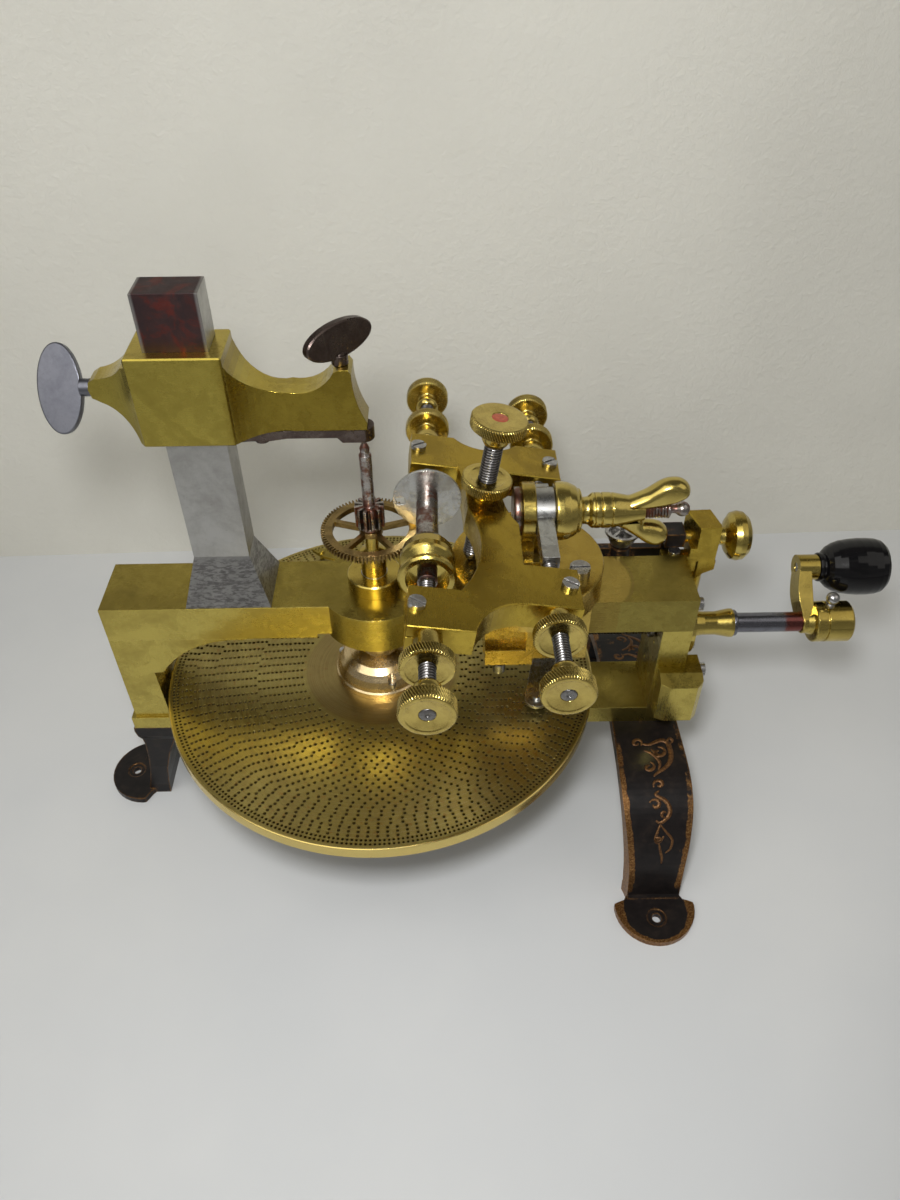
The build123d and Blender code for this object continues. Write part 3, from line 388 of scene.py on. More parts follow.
def bar_marks(k, col, r):
    """Cleaner golden print of the carriage's old place on the top bar, with score marks in front, and painted shade on
    the bar's front face from x 50 to 62 mm rightwards.
    """
    x, y, z = k.sep()
    dx = k.math("SUBTRACT", x, 93.5)
    d2 = k.math("SQRT", k.math("ADD", k.math("MULTIPLY", dx, dx), k.math("MULTIPLY", y, y)))
    wob = k.math("MULTIPLY", k.math("SUBTRACT", k.noise(0.5, 3, 0.5), 0.5), 1.6)
    disc = k.smooth(k.math("ADD", d2, wob), 24.6, 23.6)
    side = k.smooth(k.math("ADD", x, wob), 111.4, 110.4)
    near = k.smooth(x, 56.0, 60.0)
    up = k.smooth(k.normal_z()[2], 0.6, 0.8)
    top = k.math("MULTIPLY", k.math("MULTIPLY", disc, near), up)
    front = k.math("MULTIPLY", k.math("MULTIPLY", side, near), k.smooth(k.normal_z()[1], -0.6, -0.8))
    clean = k.math("MAXIMUM", top, front)
    col = k.mix(k.math("MULTIPLY", clean, 0.6), col, (0.46, 0.32, 0.075))
    # dull band round the print
    rim = k.math("MULTIPLY", k.smooth(k.math("ABSOLUTE", k.math("SUBTRACT", d2, 25.2)), 0.9, 0.2), up)
    col = k.mix(k.math("MULTIPLY", rim, 0.35), col, (0.24, 0.15, 0.05))
    sc_ = k.noise(1.0, 2, 0.6, stretch=(0.08, 1.0, 2.6))
    band = k.math("MULTIPLY", k.smooth(k.math("ABSOLUTE", k.math("SUBTRACT", x, 101.0)), 5.0, 3.0),
                  k.smooth(k.normal_z()[1], -0.6, -0.8))
    col = k.mix(k.math("MULTIPLY", k.math("MULTIPLY", k.smooth(sc_, 0.52, 0.6), band), 0.7), col, (0.30, 0.19, 0.05))
    # painted shade: front faces of the bar darkened from x 50 mm rightwards
    painted_front_shade = k.math("MULTIPLY", k.smooth(x, 50.0, 62.0), k.smooth(k.normal_z()[1], -0.6, -0.8))
    col = k.mix(k.math("MULTIPLY", painted_front_shade, 0.75), col, k.mix(1.0, col, (0.42, 0.42, 0.40), "MULTIPLY"))
    return col, r


MATS = {}
# top= paints shade (below 1) or a highlight (above 1) onto upward faces
MATS["bar_brass"] = metal("bar_brass", BR, BRD, 0.27, 0.16, 0.55, 0.035, "x", 0.10, extra=bar_marks, top=0.48)
MATS["frame_brass"] = metal("frame_brass", BR, BRD, 0.28, 0.16, 0.6, 0.05, "z", 0.10, top=0.50)
MATS["turned_brass"] = metal("turned_brass", (0.60, 0.47, 0.13), BRD, 0.19, 0.14, 0.40, 0.08, None, 0.04, top=0.75)
MATS["knurled_brass"] = metal("knurled_brass", (0.62, 0.48, 0.14), (0.24, 0.16, 0.04), 0.20, 0.15, 0.45, 0.12, None, 0.04,
                              round_r=0.12)
MATS["cutter_brass"] = metal("cutter_brass", (0.56, 0.405, 0.062), (0.27, 0.180, 0.028), 0.26, 0.16, 0.6, 0.045, "y", 0.12, top=0.70)


def arm_reach_painted_shade(k, col, r):
    """Painted shade: side and lower faces of the steadying arm's reach, beyond x -53, are darkened and browned against
    its box round the post.
    """
    x, y, z = k.sep()
    m = k.math("MULTIPLY", k.smooth(x, -53.0, -46.0), k.smooth(k.normal_z()[2], 0.7, 0.4))
    # painted shade on the reach's non-upward faces
    col = k.mix(m, col, k.mix(1.0, col, (0.66, 0.60, 0.45), "MULTIPLY"))
    return col, r


# top=1.12 paints a highlight on the arm's upward faces
MATS["arm_brass"] = metal("arm_brass", (0.46, 0.375, 0.078), (0.25, 0.185, 0.034), 0.25, 0.16, 0.55, 0.045, "x", 0.10, top=1.12,
                          extra=arm_reach_painted_shade)
MATS["saddle_brass"] = metal("saddle_brass", (0.58, 0.42, 0.10), (0.30, 0.20, 0.05), 0.22, 0.14, 0.5, 0.06, None, 0.05, top=0.7)
MATS["wing_brass"] = metal("wing_brass", (0.62, 0.49, 0.14), (0.33, 0.24, 0.06), 0.19, 0.12, 0.40, 0.08, None, 0.03)


def wheel_grain(k, col, r):
    return col, r


MATS["wheel_brass"] = metal("wheel_brass", (0.30, 0.205, 0.075), (0.12, 0.080, 0.032), 0.34, 0.16, 0.7, 0.15, None, 0.10)
# pale hub colour: partly the brass's own tone, partly a painted reflection
MATS["rose_bronze"] = metal("rose_bronze", (0.84, 0.66, 0.38), (0.50, 0.34, 0.16), 0.24, 0.14, 0.5, 0.08, None, 0.05,
                            light=(0.95, 0.72, 0.30))
MATS["thread_steel"] = metal("thread_steel", (0.24, 0.235, 0.23), (0.08, 0.065, 0.055), 0.26, 0.16, 0.6, 0.25, None, 0.05,
                             spot_col=(0.09, 0.035, 0.02), round_r=0.10)
MATS["bright_steel"] = metal("bright_steel", (0.48, 0.48, 0.46), (0.20, 0.18, 0.16), 0.26, 0.18, 0.55, 0.08, "y", 0.12)
MATS["screw_steel"] = metal("screw_steel", (0.50, 0.50, 0.50), (0.16, 0.13, 0.11), 0.28, 0.16, 0.6, 0.25, None, 0.08)
MATS["blue_steel"] = metal("blue_steel", (0.20, 0.205, 0.235), (0.10, 0.10, 0.12), 0.36, 0.18, 0.5, 0.10, "z", 0.14)
MATS["brown_steel"] = metal("brown_steel", (0.14, 0.11, 0.095), (0.05, 0.03, 0.03), 0.30, 0.2, 0.7, 0.12, None, 0.12,
                            spot_col=(0.16, 0.04, 0.02), light=(0.25, 0.21, 0.18))


def shaft_red(k, col, r):
    """Brown-red heat stain close to the crank hub."""
    x, y, z = k.sep()
    w = k.math("MULTIPLY", k.math("SUBTRACT", k.noise(0.35, 3, 0.5), 0.5), 5.0)
    m = k.smooth(k.math("ADD", x, w), 194.5, 197.5)
    col = k.mix(k.math("MULTIPLY", m, 0.85), col, (0.20, 0.045, 0.03))
    return col, r


MATS["feed_steel"] = metal("feed_steel", (0.22, 0.225, 0.26), (0.09, 0.08, 0.09), 0.20, 0.14, 0.45, 0.12, "x", 0.06,
                           extra=shaft_red)


def brown_stain(k, col, r):
    s = k.smooth(k.noise(0.22, 5, 0.6, off=(5, 1, 9)), 0.44, 0.58)
    col = k.mix(k.math("MULTIPLY", s, 0.85), col, (0.17, 0.060, 0.035))
    r = k.math("ADD", r, k.math("MULTIPLY", s, 0.1))
    return col, r


MATS["stained_steel"] = metal("stained_steel", (0.42, 0.40, 0.38), (0.16, 0.11, 0.08), 0.26, 0.16, 0.6, 0.20, None, 0.08,
                              extra=brown_stain)


def post_look(k, col, r):
    x, y, z = k.sep()
    nx, ny, nz = k.normal_z()
    w = k.math("MULTIPLY", k.math("SUBTRACT", k.noise(0.16, 5, 0.6), 0.5), 9.0)
    zt = k.math("ADD", z, w)
    top = k.smooth(zt, 172.0, 176.0)
    face = k.math("MAXIMUM", k.smooth(ny, -0.55, -0.85), k.smooth(nz, 0.5, 0.9))
    red = k.ramp(k.noise(0.13, 5, 0.6, distort=0.6), [(0.30, (0.060, 0.045, 0.048)), (0.50, (0.085, 0.050, 0.050)),
                                                      (0.64, (0.17, 0.045, 0.038)), (0.80, (0.12, 0.085, 0.080))])
    edge = k.smooth(k.math("ABSOLUTE", k.math("SUBTRACT", x, -65.4)), 11.6, 10.6)
    redmask = k.math("MULTIPLY", k.math("MULTIPLY", top, face), k.math("ADD", 0.35, k.math("MULTIPLY", edge, 0.65)))
    col = k.mix(redmask, col, red)
    # long vertical draw marks on the shaft, blotched grinding on the foot
    foot = k.smooth(z, 80.0, 76.0)
    bl = k.noise(0.30, 5, 0.65, stretch=(1.0, 1.0, 3.2), distort=0.5)
    col = k.mix(k.math("MULTIPLY", k.smooth(bl, 0.42, 0.60), k.math("MULTIPLY", foot, 0.75)), col, (0.15, 0.14, 0.14))
    r = k.math("ADD", r, k.math("MULTIPLY", redmask, 0.10))
    return col, r


MATS["post_steel"] = metal("post_steel", (0.46, 0.455, 0.44), (0.27, 0.26, 0.25), 0.36, 0.16, 0.55, 0.06, "z", 0.16,
                           extra=post_look)


def plate_look():
    k = Mat("plate_brass")
    x, y, z = k.sep()
    rr = k.math("SQRT", k.math("ADD", k.math("MULTIPLY", x, x), k.math("MULTIPLY", y, y)))
    ang = k.math("ARCTAN2", y, x)
    v = k.comb(k.math("MULTIPLY", rr, 5.0), k.math("MULTIPLY", ang, 2.0), 0.0)
    g = k.noise(1.0, 4, 0.65, vec=v)
    v2 = k.comb(k.math("MULTIPLY", rr, 0.7), k.math("MULTIPLY", ang, 1.2), 0.0)
    g2 = k.noise(1.0, 4, 0.6, vec=v2)
    big = k.noise(0.030, 6, 0.6, distort=0.8)
    mid = k.noise(0.22, 5, 0.65)
    f = k.smooth(k.math("ADD", k.math("MULTIPLY", big, 0.6), k.math("MULTIPLY", mid, 0.4)), 0.38, 0.66)
    col = k.mix(k.math("MULTIPLY", f, 0.6), (0.43, 0.355, 0.120), (0.25, 0.19, 0.068))
    col = k.mix(k.math("MULTIPLY", k.smooth(g, 0.4, 0.7), 0.35), col, (0.22, 0.165, 0.06))
    rust = k.smooth(k.noise(0.35, 5, 0.7, off=(3, 11, 5)), 0.57, 0.68)
    col = k.mix(k.math("MULTIPLY", rust, 0.55), col, (0.34, 0.155, 0.045))
    inner = k.smooth(rr, 38.6, 36.8)
    lines = k.noise(1.0, 2, 0.5, vec=k.comb(k.math("MULTIPLY", rr, 3.0), 0.0, 0.0))
    col = k.mix(k.math("MULTIPLY", inner, 0.55), col, (0.24, 0.165, 0.075))
    col = k.mix(k.math("MULTIPLY", k.math("MULTIPLY", inner, k.smooth(lines, 0.5, 0.62)), 0.4), col, (0.52, 0.40, 0.17))
    rim = k.smooth(rr, 103.9, 104.5)
    col = k.mix(k.math("MULTIPLY", rim, 0.8), col, (0.78, 0.60, 0.20))
    # painted shade: drilled holes darkened with depth below the face
    painted_pit_shade = k.smooth(z, -0.10, -0.50)
    painted_pit_shade = k.math("MULTIPLY", painted_pit_shade, k.smooth(rr, 104.4, 104.2))
    col = k.mix(k.math("MULTIPLY", painted_pit_shade, 0.93), col, (0.035, 0.023, 0.010))
    r = k.math("ADD", 0.30, k.math("MULTIPLY", f, 0.10))
    r = k.math("ADD", r, k.math("MULTIPLY", k.smooth(g2, 0.4, 0.7), 0.08))
    r = k.math("SUBTRACT", r, k.math("MULTIPLY", rim, 0.14))
    k.link(col, k.b.inputs["Base Color"])
    k.link(r, k.b.inputs["Roughness"])
    k.link(k.bump(g, 0.16, 0.02, k.round_normal(0.10)), k.b.inputs["Normal"])
    k.b.inputs["Metallic"].default_value = 1.0
    return k.m


MATS["plate_brass"] = plate_look()


def iron_look():
    """Black japanned iron; worn gilt bands along both edges of the long straps and round the pads."""
    k = Mat("black_iron")
    x, y, z = k.sep()
    n1 = k.noise(0.16, 6, 0.6, distort=0.4)
    n2 = k.noise(1.3, 4, 0.65)
    col = k.ramp(n1, [(0.30, (0.0055, 0.0045, 0.0045)), (0.55, (0.011, 0.0085, 0.008)), (0.75, (0.024, 0.017, 0.013))])
    e = k.edge(1.5, 0.015, 0.16)
    ay = k.math("ABSOLUTE", y)
    hw = k.math("MULTIPLY", k.ramp(k.math("DIVIDE", ay, 100.0), [(0.02, 0.820), (0.50, 0.860), (0.64, 0.830), (0.74, 0.750), (0.80, 0.670), (0.85, 0.635), (0.90, 0.630)]), 20.0)
    side = k.math("SUBTRACT", x, 133.0)
    inset = k.math("SUBTRACT", hw, k.math("ABSOLUTE", side))
    wob = k.math("MULTIPLY", k.math("SUBTRACT", k.noise(0.16, 4, 0.6, off=(2, 8, 1)), 0.5), 3.0)
    band = k.smooth(k.math("ADD", inset, wob), 3.3, 2.2)
    strap = k.math("MULTIPLY", k.smooth(ay, 83.5, 82.5), k.smooth(x, 100.0, 105.0))
    left = k.smooth(side, 2.0, -2.0, 0.62, 1.0)
    drop = k.smooth(ay, 34.0, 62.0, 0.35, 1.0)
    wn = k.noise(0.13, 5, 0.65, off=(9, 4, 2))
    g1 = k.math("MULTIPLY", k.math("MULTIPLY", band, strap), k.math("MULTIPLY", left, drop))
    px = k.math("SUBTRACT", x, 133.0)
    py = k.math("SUBTRACT", ay, 90.5)
    pr = k.math("SQRT", k.math("ADD", k.math("MULTIPLY", px, px), k.math("MULTIPLY", py, py)))
    padr = k.math("MULTIPLY", k.smooth(k.math("ADD", pr, wob), 14.6, 16.2), k.smooth(ay, 83.5, 85.0))
    g1 = k.math("MAXIMUM", g1, k.math("MULTIPLY", padr, 0.8))
    wear = k.smooth(k.math("ADD", k.math("ADD", k.math("MULTIPLY", wn, 1.0), k.math("MULTIPLY", g1, 0.46)),
                           k.math("MULTIPLY", e, 0.30)), 0.64, 0.82)
    gold = k.ramp(n2, [(0.28, (0.060, 0.024, 0.010)), (0.50, (0.21, 0.10, 0.036)), (0.80, (0.55, 0.33, 0.12))])
    col = k.mix(wear, col, gold)
    k.link(col, k.b.inputs["Base Color"])
    k.link(k.math("MULTIPLY", wear, 0.85), k.b.inputs["Metallic"])
    k.link(k.math("ADD", 0.24, k.math("MULTIPLY", n2, 0.22)), k.b.inputs["Roughness"])
    k.link(k.bump(n2, 0.22, 0.06, k.round_normal(0.5)), k.b.inputs["Normal"])
    k.b.inputs["Specular IOR Level"].default_value = 0.22
    return k.m


MATS["black_iron"] = iron_look()


def gilt_look():
    k = Mat("worn_gilt")
    n = k.noise(0.9, 5, 0.7)
    col = k.ramp(n, [(0.32, (0.030, 0.018, 0.012)), (0.46, (0.13, 0.060, 0.022)), (0.75, (0.26, 0.13, 0.045))])
    k.link(col, k.b.inputs["Base Color"])
    k.link(k.math("ADD", 0.35, k.math("MULTIPLY", n, 0.25)), k.b.inputs["Roughness"])
    k.b.inputs["Metallic"].default_value = 0.7
    return k.m


GILT = gilt_look()


def ebony_look():
    k = Mat("ebony")
    n = k.noise(0.5, 5, 0.6, stretch=(0.25, 1, 1))
    col = k.ramp(n, [(0.3, (0.0025, 0.0025, 0.003)), (0.7, (0.006, 0.0055, 0.006))])
    s = k.noise(3.0, 3, 0.6)
    k.link(col, k.b.inputs["Base Color"])
    k.link(k.math("ADD", 0.10, k.math("MULTIPLY", k.smooth(s, 0.5, 0.8), 0.14)), k.b.inputs["Roughness"])
    k.link(k.bump(s, 0.05, 0.03), k.b.inputs["Normal"])
    k.b.inputs["Specular IOR Level"].default_value = 0.30
    return k.m


MATS["ebony"] = ebony_look()


def red_look():
    k = Mat("red_wax")
    n = k.noise(0.8, 4, 0.6)
    k.link(k.ramp(n, [(0.3, (0.20, 0.035, 0.02)), (0.7, (0.42, 0.10, 0.045))]), k.b.inputs["Base Color"])
    k.link(k.math("ADD", 0.35, k.math("MULTIPLY", n, 0.2)), k.b.inputs["Roughness"])
    k.link(k.bump(n, 0.2, 0.08), k.b.inputs["Normal"])
    return k.m


RED = red_look()

SLOT = {
    "frame_top_bar": "bar_brass", "frame_left_leg": "frame_brass", "frame_lower_bar": "frame_brass",
    "frame_right_upright": "frame_brass", "upright_clamp_block": "frame_brass", "index_arm": "frame_brass",
    "plate_hub": "rose_bronze", "spindle_bush": "turned_brass", "lower_pivot_nut": "turned_brass",
    "feed_bearing": "turned_brass", "chuck_sleeve": "turned_brass", "tilt_pillar": "turned_brass",
    "drive_pulley": "turned_brass", "arbor_collar": "turned_brass", "bracket_knob": "turned_brass",
    "crank_arm": "turned_brass", "sample_wheel": "wheel_brass", "cutter_frame": "cutter_brass",
    "steady_arm": "arm_brass", "rear_bracket": "cutter_brass", "saddle": "saddle_brass",
    "arm_post": "post_steel", "spindle": "bright_steel", "crossbar": "bright_steel",
    "cutter_disc": "bright_steel", "detent_blade": "bright_steel", "frame_screws": "screw_steel",
    "hub_screws": "screw_steel", "saddle_screws": "screw_steel", "clamp_screws": "screw_steel",
    "lower_pivot_screw": "screw_steel", "crank_set_screw": "screw_steel", "grip_pin": "screw_steel",
    "micrometer_screw": "screw_steel", "cutter_arbor": "stained_steel", "arm_clamp_screw": "blue_steel",
    "runner_strip": "brown_steel", "runner_screw": "brown_steel", "runner_thumbscrew": "brown_steel",
    "front_foot": "black_iron", "rear_foot": "black_iron", "left_foot": "black_iron",
    "detent_arm": "black_iron", "crank_grip": "ebony",
}
for n, s in SLOT.items():
    ob = NODES.get(n)
    if ob is None:
        continue
    ob.data.materials.clear()
    ob.data.materials.append(MATS[s])


def stand_for(ob, body, node, slot, *more):
    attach(ob, body)
    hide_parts(node)


# ---------------------------------------------------------------------------
# dividing plate: disc with rings of drilled dimples
# ---------------------------------------------------------------------------
def plate():
    R, T = 105.0, 6.6
    verts, faces = [], []

    def vtx(x, y, z):
        verts.append((x, y, z))
        return len(verts) - 1

    def loop(r, n, z=0.0, a0=0.0):
        return [vtx(r * math.cos(a0 + 2 * math.pi * i / n), r * math.sin(a0 + 2 * math.pi * i / n), z) for i in range(n)]

    A0 = math.radians(186)

    def zipper(A, B):
        """Triangles between two concentric closed loops that start at the same angle (A inside B)."""
        na, nb = len(A), len(B)
        i = j = 0
        while i < na or j < nb:
            ta = (i + 1) / na
            tb = (j + 1) / nb
            if j >= nb or (i < na and ta <= tb):
                faces.append((A[i % na], B[j % nb], A[(i + 1) % na]))
                i += 1
            else:
                faces.append((A[i % na], B[j % nb], B[(j + 1) % nb]))
                j += 1

    rings = []
    for q in range(29):
        r = 98.4 - 2.08 * q
        if q < 3:
            n = 144
        elif q < 8:
            n = (110, 110, 109, 109, 108)[q - 3]
        else:
            n = int(round(73 + 1.12 * (r - 59.0)))
        rings.append((r, n, 0.85))
    rings.reverse()
    rings.append((100.4, 320, 0.74))
    rings.append((102.3, 320, 0.74))
    prev = loop(8.0, 96, 0.0, A0)
    inner_first = prev
    last = prev
    for (r, n, hr) in rings:
        h = 0.93
        ro, ri = r + h, r - h
        a1 = A0 if r < 61.0 else A0 - math.pi / n
        L_in = loop(ri, 2 * n, 0.0, a1)
        L_out = loop(ro, 2 * n, 0.0, a1)
        L_mid = loop(r, n, 0.0, a1)      # shared points between neighbouring cells
        zipper(last, L_in)
        for i in range(n):
            a = a1 + 2 * math.pi * (i + 0.5) / n
            i0, i1, i2 = (2 * i) % (2 * n), (2 * i + 1) % (2 * n), (2 * i + 2) % (2 * n)
            cell = [L_in[i0], L_in[i1], L_in[i2], L_mid[(i + 1) % n], L_out[i2], L_out[i1], L_out[i0], L_mid[i]]
            cx_, cy_ = r * math.cos(a), r * math.sin(a)
            er, et = (math.cos(a), math.sin(a)), (-math.sin(a), math.cos(a))
            dirs = [(-1, -1), (-1.414, 0), (-1, 1), (0, 1.414), (1, 1), (1.414, 0), (1, -1), (0, -1.414)]
            top, low = [], []
            for dr, dt in dirs:
                s = hr / 1.414
                top.append(vtx(cx_ + er[0] * dr * s + et[0] * dt * s, cy_ + er[1] * dr * s + et[1] * dt * s, 0.0))
                s *= 0.60
                low.append(vtx(cx_ + er[0] * dr * s + et[0] * dt * s, cy_ + er[1] * dr * s + et[1] * dt * s, -0.62))
            c = vtx(cx_, cy_, -1.05)
            for q in range(8):
                w = (q + 1) % 8
                faces.append((cell[q], cell[w], top[w], top[q]))
                faces.append((top[q], top[w], low[w], low[q]))
                faces.append((low[q], low[w], c))
        last = L_out
    # rim: flat margin, bevel, edge, underside, bore
    prof = [(104.1, 0.0), (104.55, -0.08), (104.9, -0.36), (R, -0.8), (R, -T + 0.5), (104.6, -T), (40.0, -T), (8.0, -T)]
    m = 360
    cur = loop(prof[0][0], m, prof[0][1], A0)
    zipper(last, cur)
    for pr, pz in prof[1:]:
        nx = loop(pr, m, pz, A0)
        for i in range(m):
            j = (i + 1) % m
            faces.append((cur[i], nx[i], nx[j], cur[j]))
        cur = nx
    bore = inner_first
    # bore wall
    na, nb = len(bore), m
    i = j = 0
    while i < na or j < nb:
        if j >= nb or (i < na and (i + 1) / na <= (j + 1) / nb):
            faces.append((bore[(i + 1) % na], cur[j % nb], bore[i % na]))
            i += 1
        else:
            faces.append((cur[(j + 1) % nb], cur[j % nb], bore[i % na]))
            j += 1
    ob = mesh_obj("plate_drilled", verts, faces, MATS["plate_brass"], True, 20)
    stand_for(ob, "work_spindle", "dividing_plate", "plate_brass")


plate()


# ---------------------------------------------------------------------------
# knurled pivot screws and lock nuts (cutter frame's own frame)
# ---------------------------------------------------------------------------
KR, SR = 10.1, 3.25


def pivot(node_s, node_n, body_s, body_n, lx, face, sgn, gaps, tip):
    a, b, c, d, e = gaps
    ax = (0, sgn, 0)
    y0 = face + sgn * (a + b + c)
    head = fillet([(SR - 0.3, 0), (4.0, 0), (5.2, 1.6), (5.2, 3.6), (3.6, d - 1.0), (4.2, d), (KR - 0.6, d)], 0.5)
    head += knurl_rows(KR, d + 0.5, d + e - 0.8, 60)
    head += fillet([(KR - 0.55, d + e - 0.15), (KR - 1.0, d + e), (8.0, d + e), (7.6, d + e - 0.25), (3.1, d + e - 0.75), (3.0, d + e - 0.95),
                    (2.98, d + e - 0.9)], 0.2)
    h = lathe(node_s + "_head", head, (lx, y0, 0), ax, MATS["knurled_brass"], 480, CUT, 30)
    # steel thread, point and the centre of the head
    ln = abs(y0 - tip)
    th = [(0, -ln - 5.05), (0.35, -ln - 5.0), (SR, -ln)]
    th += thread_rows(SR, -ln + 0.2, 0.6, 1.28, 0.62)
    th += [(2.9, 0.8), (2.9, d + e - 1.2)]
    th += fillet([(2.95, d + e - 1.2), (2.95, d + e - 0.75), (2.6, d + e - 0.55), (0.9, d + e - 0.5), (0.7, d + e - 0.8), (0, d + e - 0.95)], 0.2)
    t = lathe(node_s + "_steel", th, (lx, y0, 0), ax, MATS["thread_steel"], 48, CUT, 40)
    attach(h, body_s)
    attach(t, body_s)
    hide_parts(node_s)
    nut = [(SR + 0.05, 0.02)] + fillet([(SR + 0.1, 0.0), (5.3, 0), (5.6, 1.0), (5.6, a - 3.0), (3.9, a - 1.2), (4.4, a), (KR - 0.6, a)], 0.5)
    nut += knurl_rows(KR, a + 0.5, a + b - 0.6, 60, slant=1.4)
    nut += fillet([(KR - 0.55, a + b - 0.1), (KR - 0.9, a + b), (8.2, a + b), (7.8, a + b - 0.3), (4.6, a + b - 0.9), (SR + 0.3, a + b - 1.0),
                   (SR + 0.05, a + b - 1.0)], 0.2)
    nut += [(SR + 0.05, a + b - 1.2), (SR + 0.05, 0.02)]
    o = lathe(node_n + "_turned", nut, (lx, face, 0), ax, MATS["knurled_brass"], 480, CUT, 30)
    stand_for(o, body_n, node_n, "knurled_brass")


pivot("cutter_pivot_screw_front", "cutter_pivot_nut_front", "screw_cf", "nut_cf", -49.6, -84.0, -1, (10.6, 5.0, 6.8, 8.0, 6.0), -55.0)
pivot("cutter_pivot_screw_back", "cutter_pivot_nut_back", "screw_cb", "nut_cb", -49.6, 41.5, 1, (11.0, 5.0, 14.5, 8.0, 6.0), 13.6)
pivot("swing_pivot_screw_front", "swing_pivot_nut_front", "screw_sf", "nut_sf", 0.0, -66.5, -1, (7.4, 5.0, 13.4, 8.0, 6.0), -37.0)
pivot("swing_pivot_screw_back", "swing_pivot_nut_back", "screw_sb", "nut_sb", 0.0, 41.0, 1, (8.8, 5.4, 12.6, 8.0, 6.0), 15.6)

# stop screw with its red centre, and its lock nut
rows = fillet([(3.9, 31.0), (4.6, 31.0), (5.8, 33.0), (5.8, 35.6), (4.4, 37.4), (5.0, 38.4), (11.0, 38.4)], 0.5)
rows += knurl_rows(11.6, 38.9, 42.7, 66, slant=1.8)
rows += fillet([(11.05, 43.25), (10.6, 43.4), (3.6, 43.4), (3.3, 43.2), (3.2, 42.9)], 0.2)
so = lathe("stop_screw_head", rows, (-26.0, 0, 0), (0, 0, 1), MATS["knurled_brass"], 528, CUT, 30)
stand_for(so, "stop", "stop_screw", "knurled_brass")
rows = [(3.3, 42.6), (3.3, 43.1), (3.0, 43.28), (2.0, 43.30), (0, 43.24)]
rd = lathe("stop_screw_centre", rows, (-26.0, 0, 0), (0, 0, 1), RED, 40, CUT)
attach(rd, "stop")
rows = [(0, -30.2), (1.4, -29.9), (2.6, -29.1), (3.4, -27.8), (3.6, -26.6), (4.0, -26.2)] + thread_rows(4.0, -25.8, 31.4, 1.28, 0.64) + [(3.2, 31.8)]
rt = lathe("stop_screw_thread", rows, (-26.0, 0, 0), (0, 0, 1), MATS["thread_steel"], 56, CUT, 40)
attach(rt, "stop")
rows = [(4.05, 5.55)] + fillet([(4.1, 5.5), (5.6, 5.5), (5.6, 7.6), (4.8, 8.6), (5.2, 9.5), (10.1, 9.5)], 0.4)
rows += knurl_rows(10.7, 10.0, 13.9, 62, slant=1.8)
rows += fillet([(10.15, 14.4), (9.8, 14.5), (7.6, 14.5), (7.2, 14.2), (4.4, 13.8), (4.05, 13.8)], 0.2) + [(4.05, 5.55)]
nu = lathe("stop_nut_turned", rows, (-26.0, 0, 0), (0, 0, 1), MATS["knurled_brass"], 496, CUT, 30)
stand_for(nu, "stop_lock", "stop_nut", "knurled_brass")

# feed screw: square-shouldered shaft, thread inside the frame
rows = [(0, 46.0), (2.6, 46.0), (3.0, 46.4), (3.0, 50.0), (4.4, 50.2)] + thread_rows(4.8, 50.6, 129.6, 1.5, 0.6, 6, -1)
rows += [(4.7, 130.0), (4.8, 130.2), (6.0, 130.2), (6.4, 130.6), (6.4, 132.2), (6.0, 132.6), (4.8, 132.6), (4.8, 170.4), (6.1, 170.46),
         (6.4, 170.8), (6.4, 172.0), (6.1, 172.4), (4.8, 172.45), (4.8, 203.9), (3.6, 204.0), (3.6, 226.2), (3.3, 226.5), (0, 226.5)]
fsc = lathe("feed_screw_cut", rows, (0, 0, 26.5), (1, 0, 0), MATS["feed_steel"], 56, None, 35)
stand_for(fsc, "crank", "feed_screw", "feed_steel")

# tilt bolt: broad head, threaded shank, ball end
rows = [(0, 61.8), (9.9, 61.8), (10.5, 62.1), (10.8, 62.7), (10.8, 64.3), (10.4, 65.1), (4.5, 65.2), (4.5, 79.0)]
rows += thread_rows(4.0, 79.3, 129.2, 1.3, 0.62)
rows += [(3.2, 129.8), (1.9, 130.1), (1.8, 131.9)]
for q in range(1, 12):
    t = math.pi * (0.18 + 0.82 * q / 11)
    rows.append((3.3 * math.sin(t) if q < 11 else 0.0, 135.2 - 3.3 * math.cos(t)))
tbo = lathe("tilt_bolt_cut", rows, (0, 0, 96.0), (1, 0, 0), MATS["stained_steel"], 56, None, 35)
stand_for(tbo, "carriage", "tilt_bolt", "stained_steel")


# work arbor: shank, leaved pinion, tall pin
def arbor():
    rows = [(0, 66.0), (2.2, 66.0), (2.2, 88.5), (4.3, 88.6), (4.55, 88.85), (4.55, 90.3), (4.2, 90.4)]

    def leaf(t):
        q = tri(12 * t / (2 * math.pi))
        return 4.5 + 1.95 * min(1.0, max(0.0, (q - 0.34) * 3.4))
    rows += [(6.45, 90.45, leaf), (6.45, 100.95, leaf)]
    rows += [(2.6, 101.0), (2.6, 126.2), (2.4, 126.5), (1.9, 127.6), (2.1, 129.4), (1.3, 131.4), (0.5, 132.9), (0, 133.0)]
    ob = lathe("work_arbor_leaved", rows, (0, 0, 0), (0, 0, 1), MATS["stained_steel"], 192, None, 30)
    stand_for(ob, "work_spindle", "work_arbor", "stained_steel")


arbor()


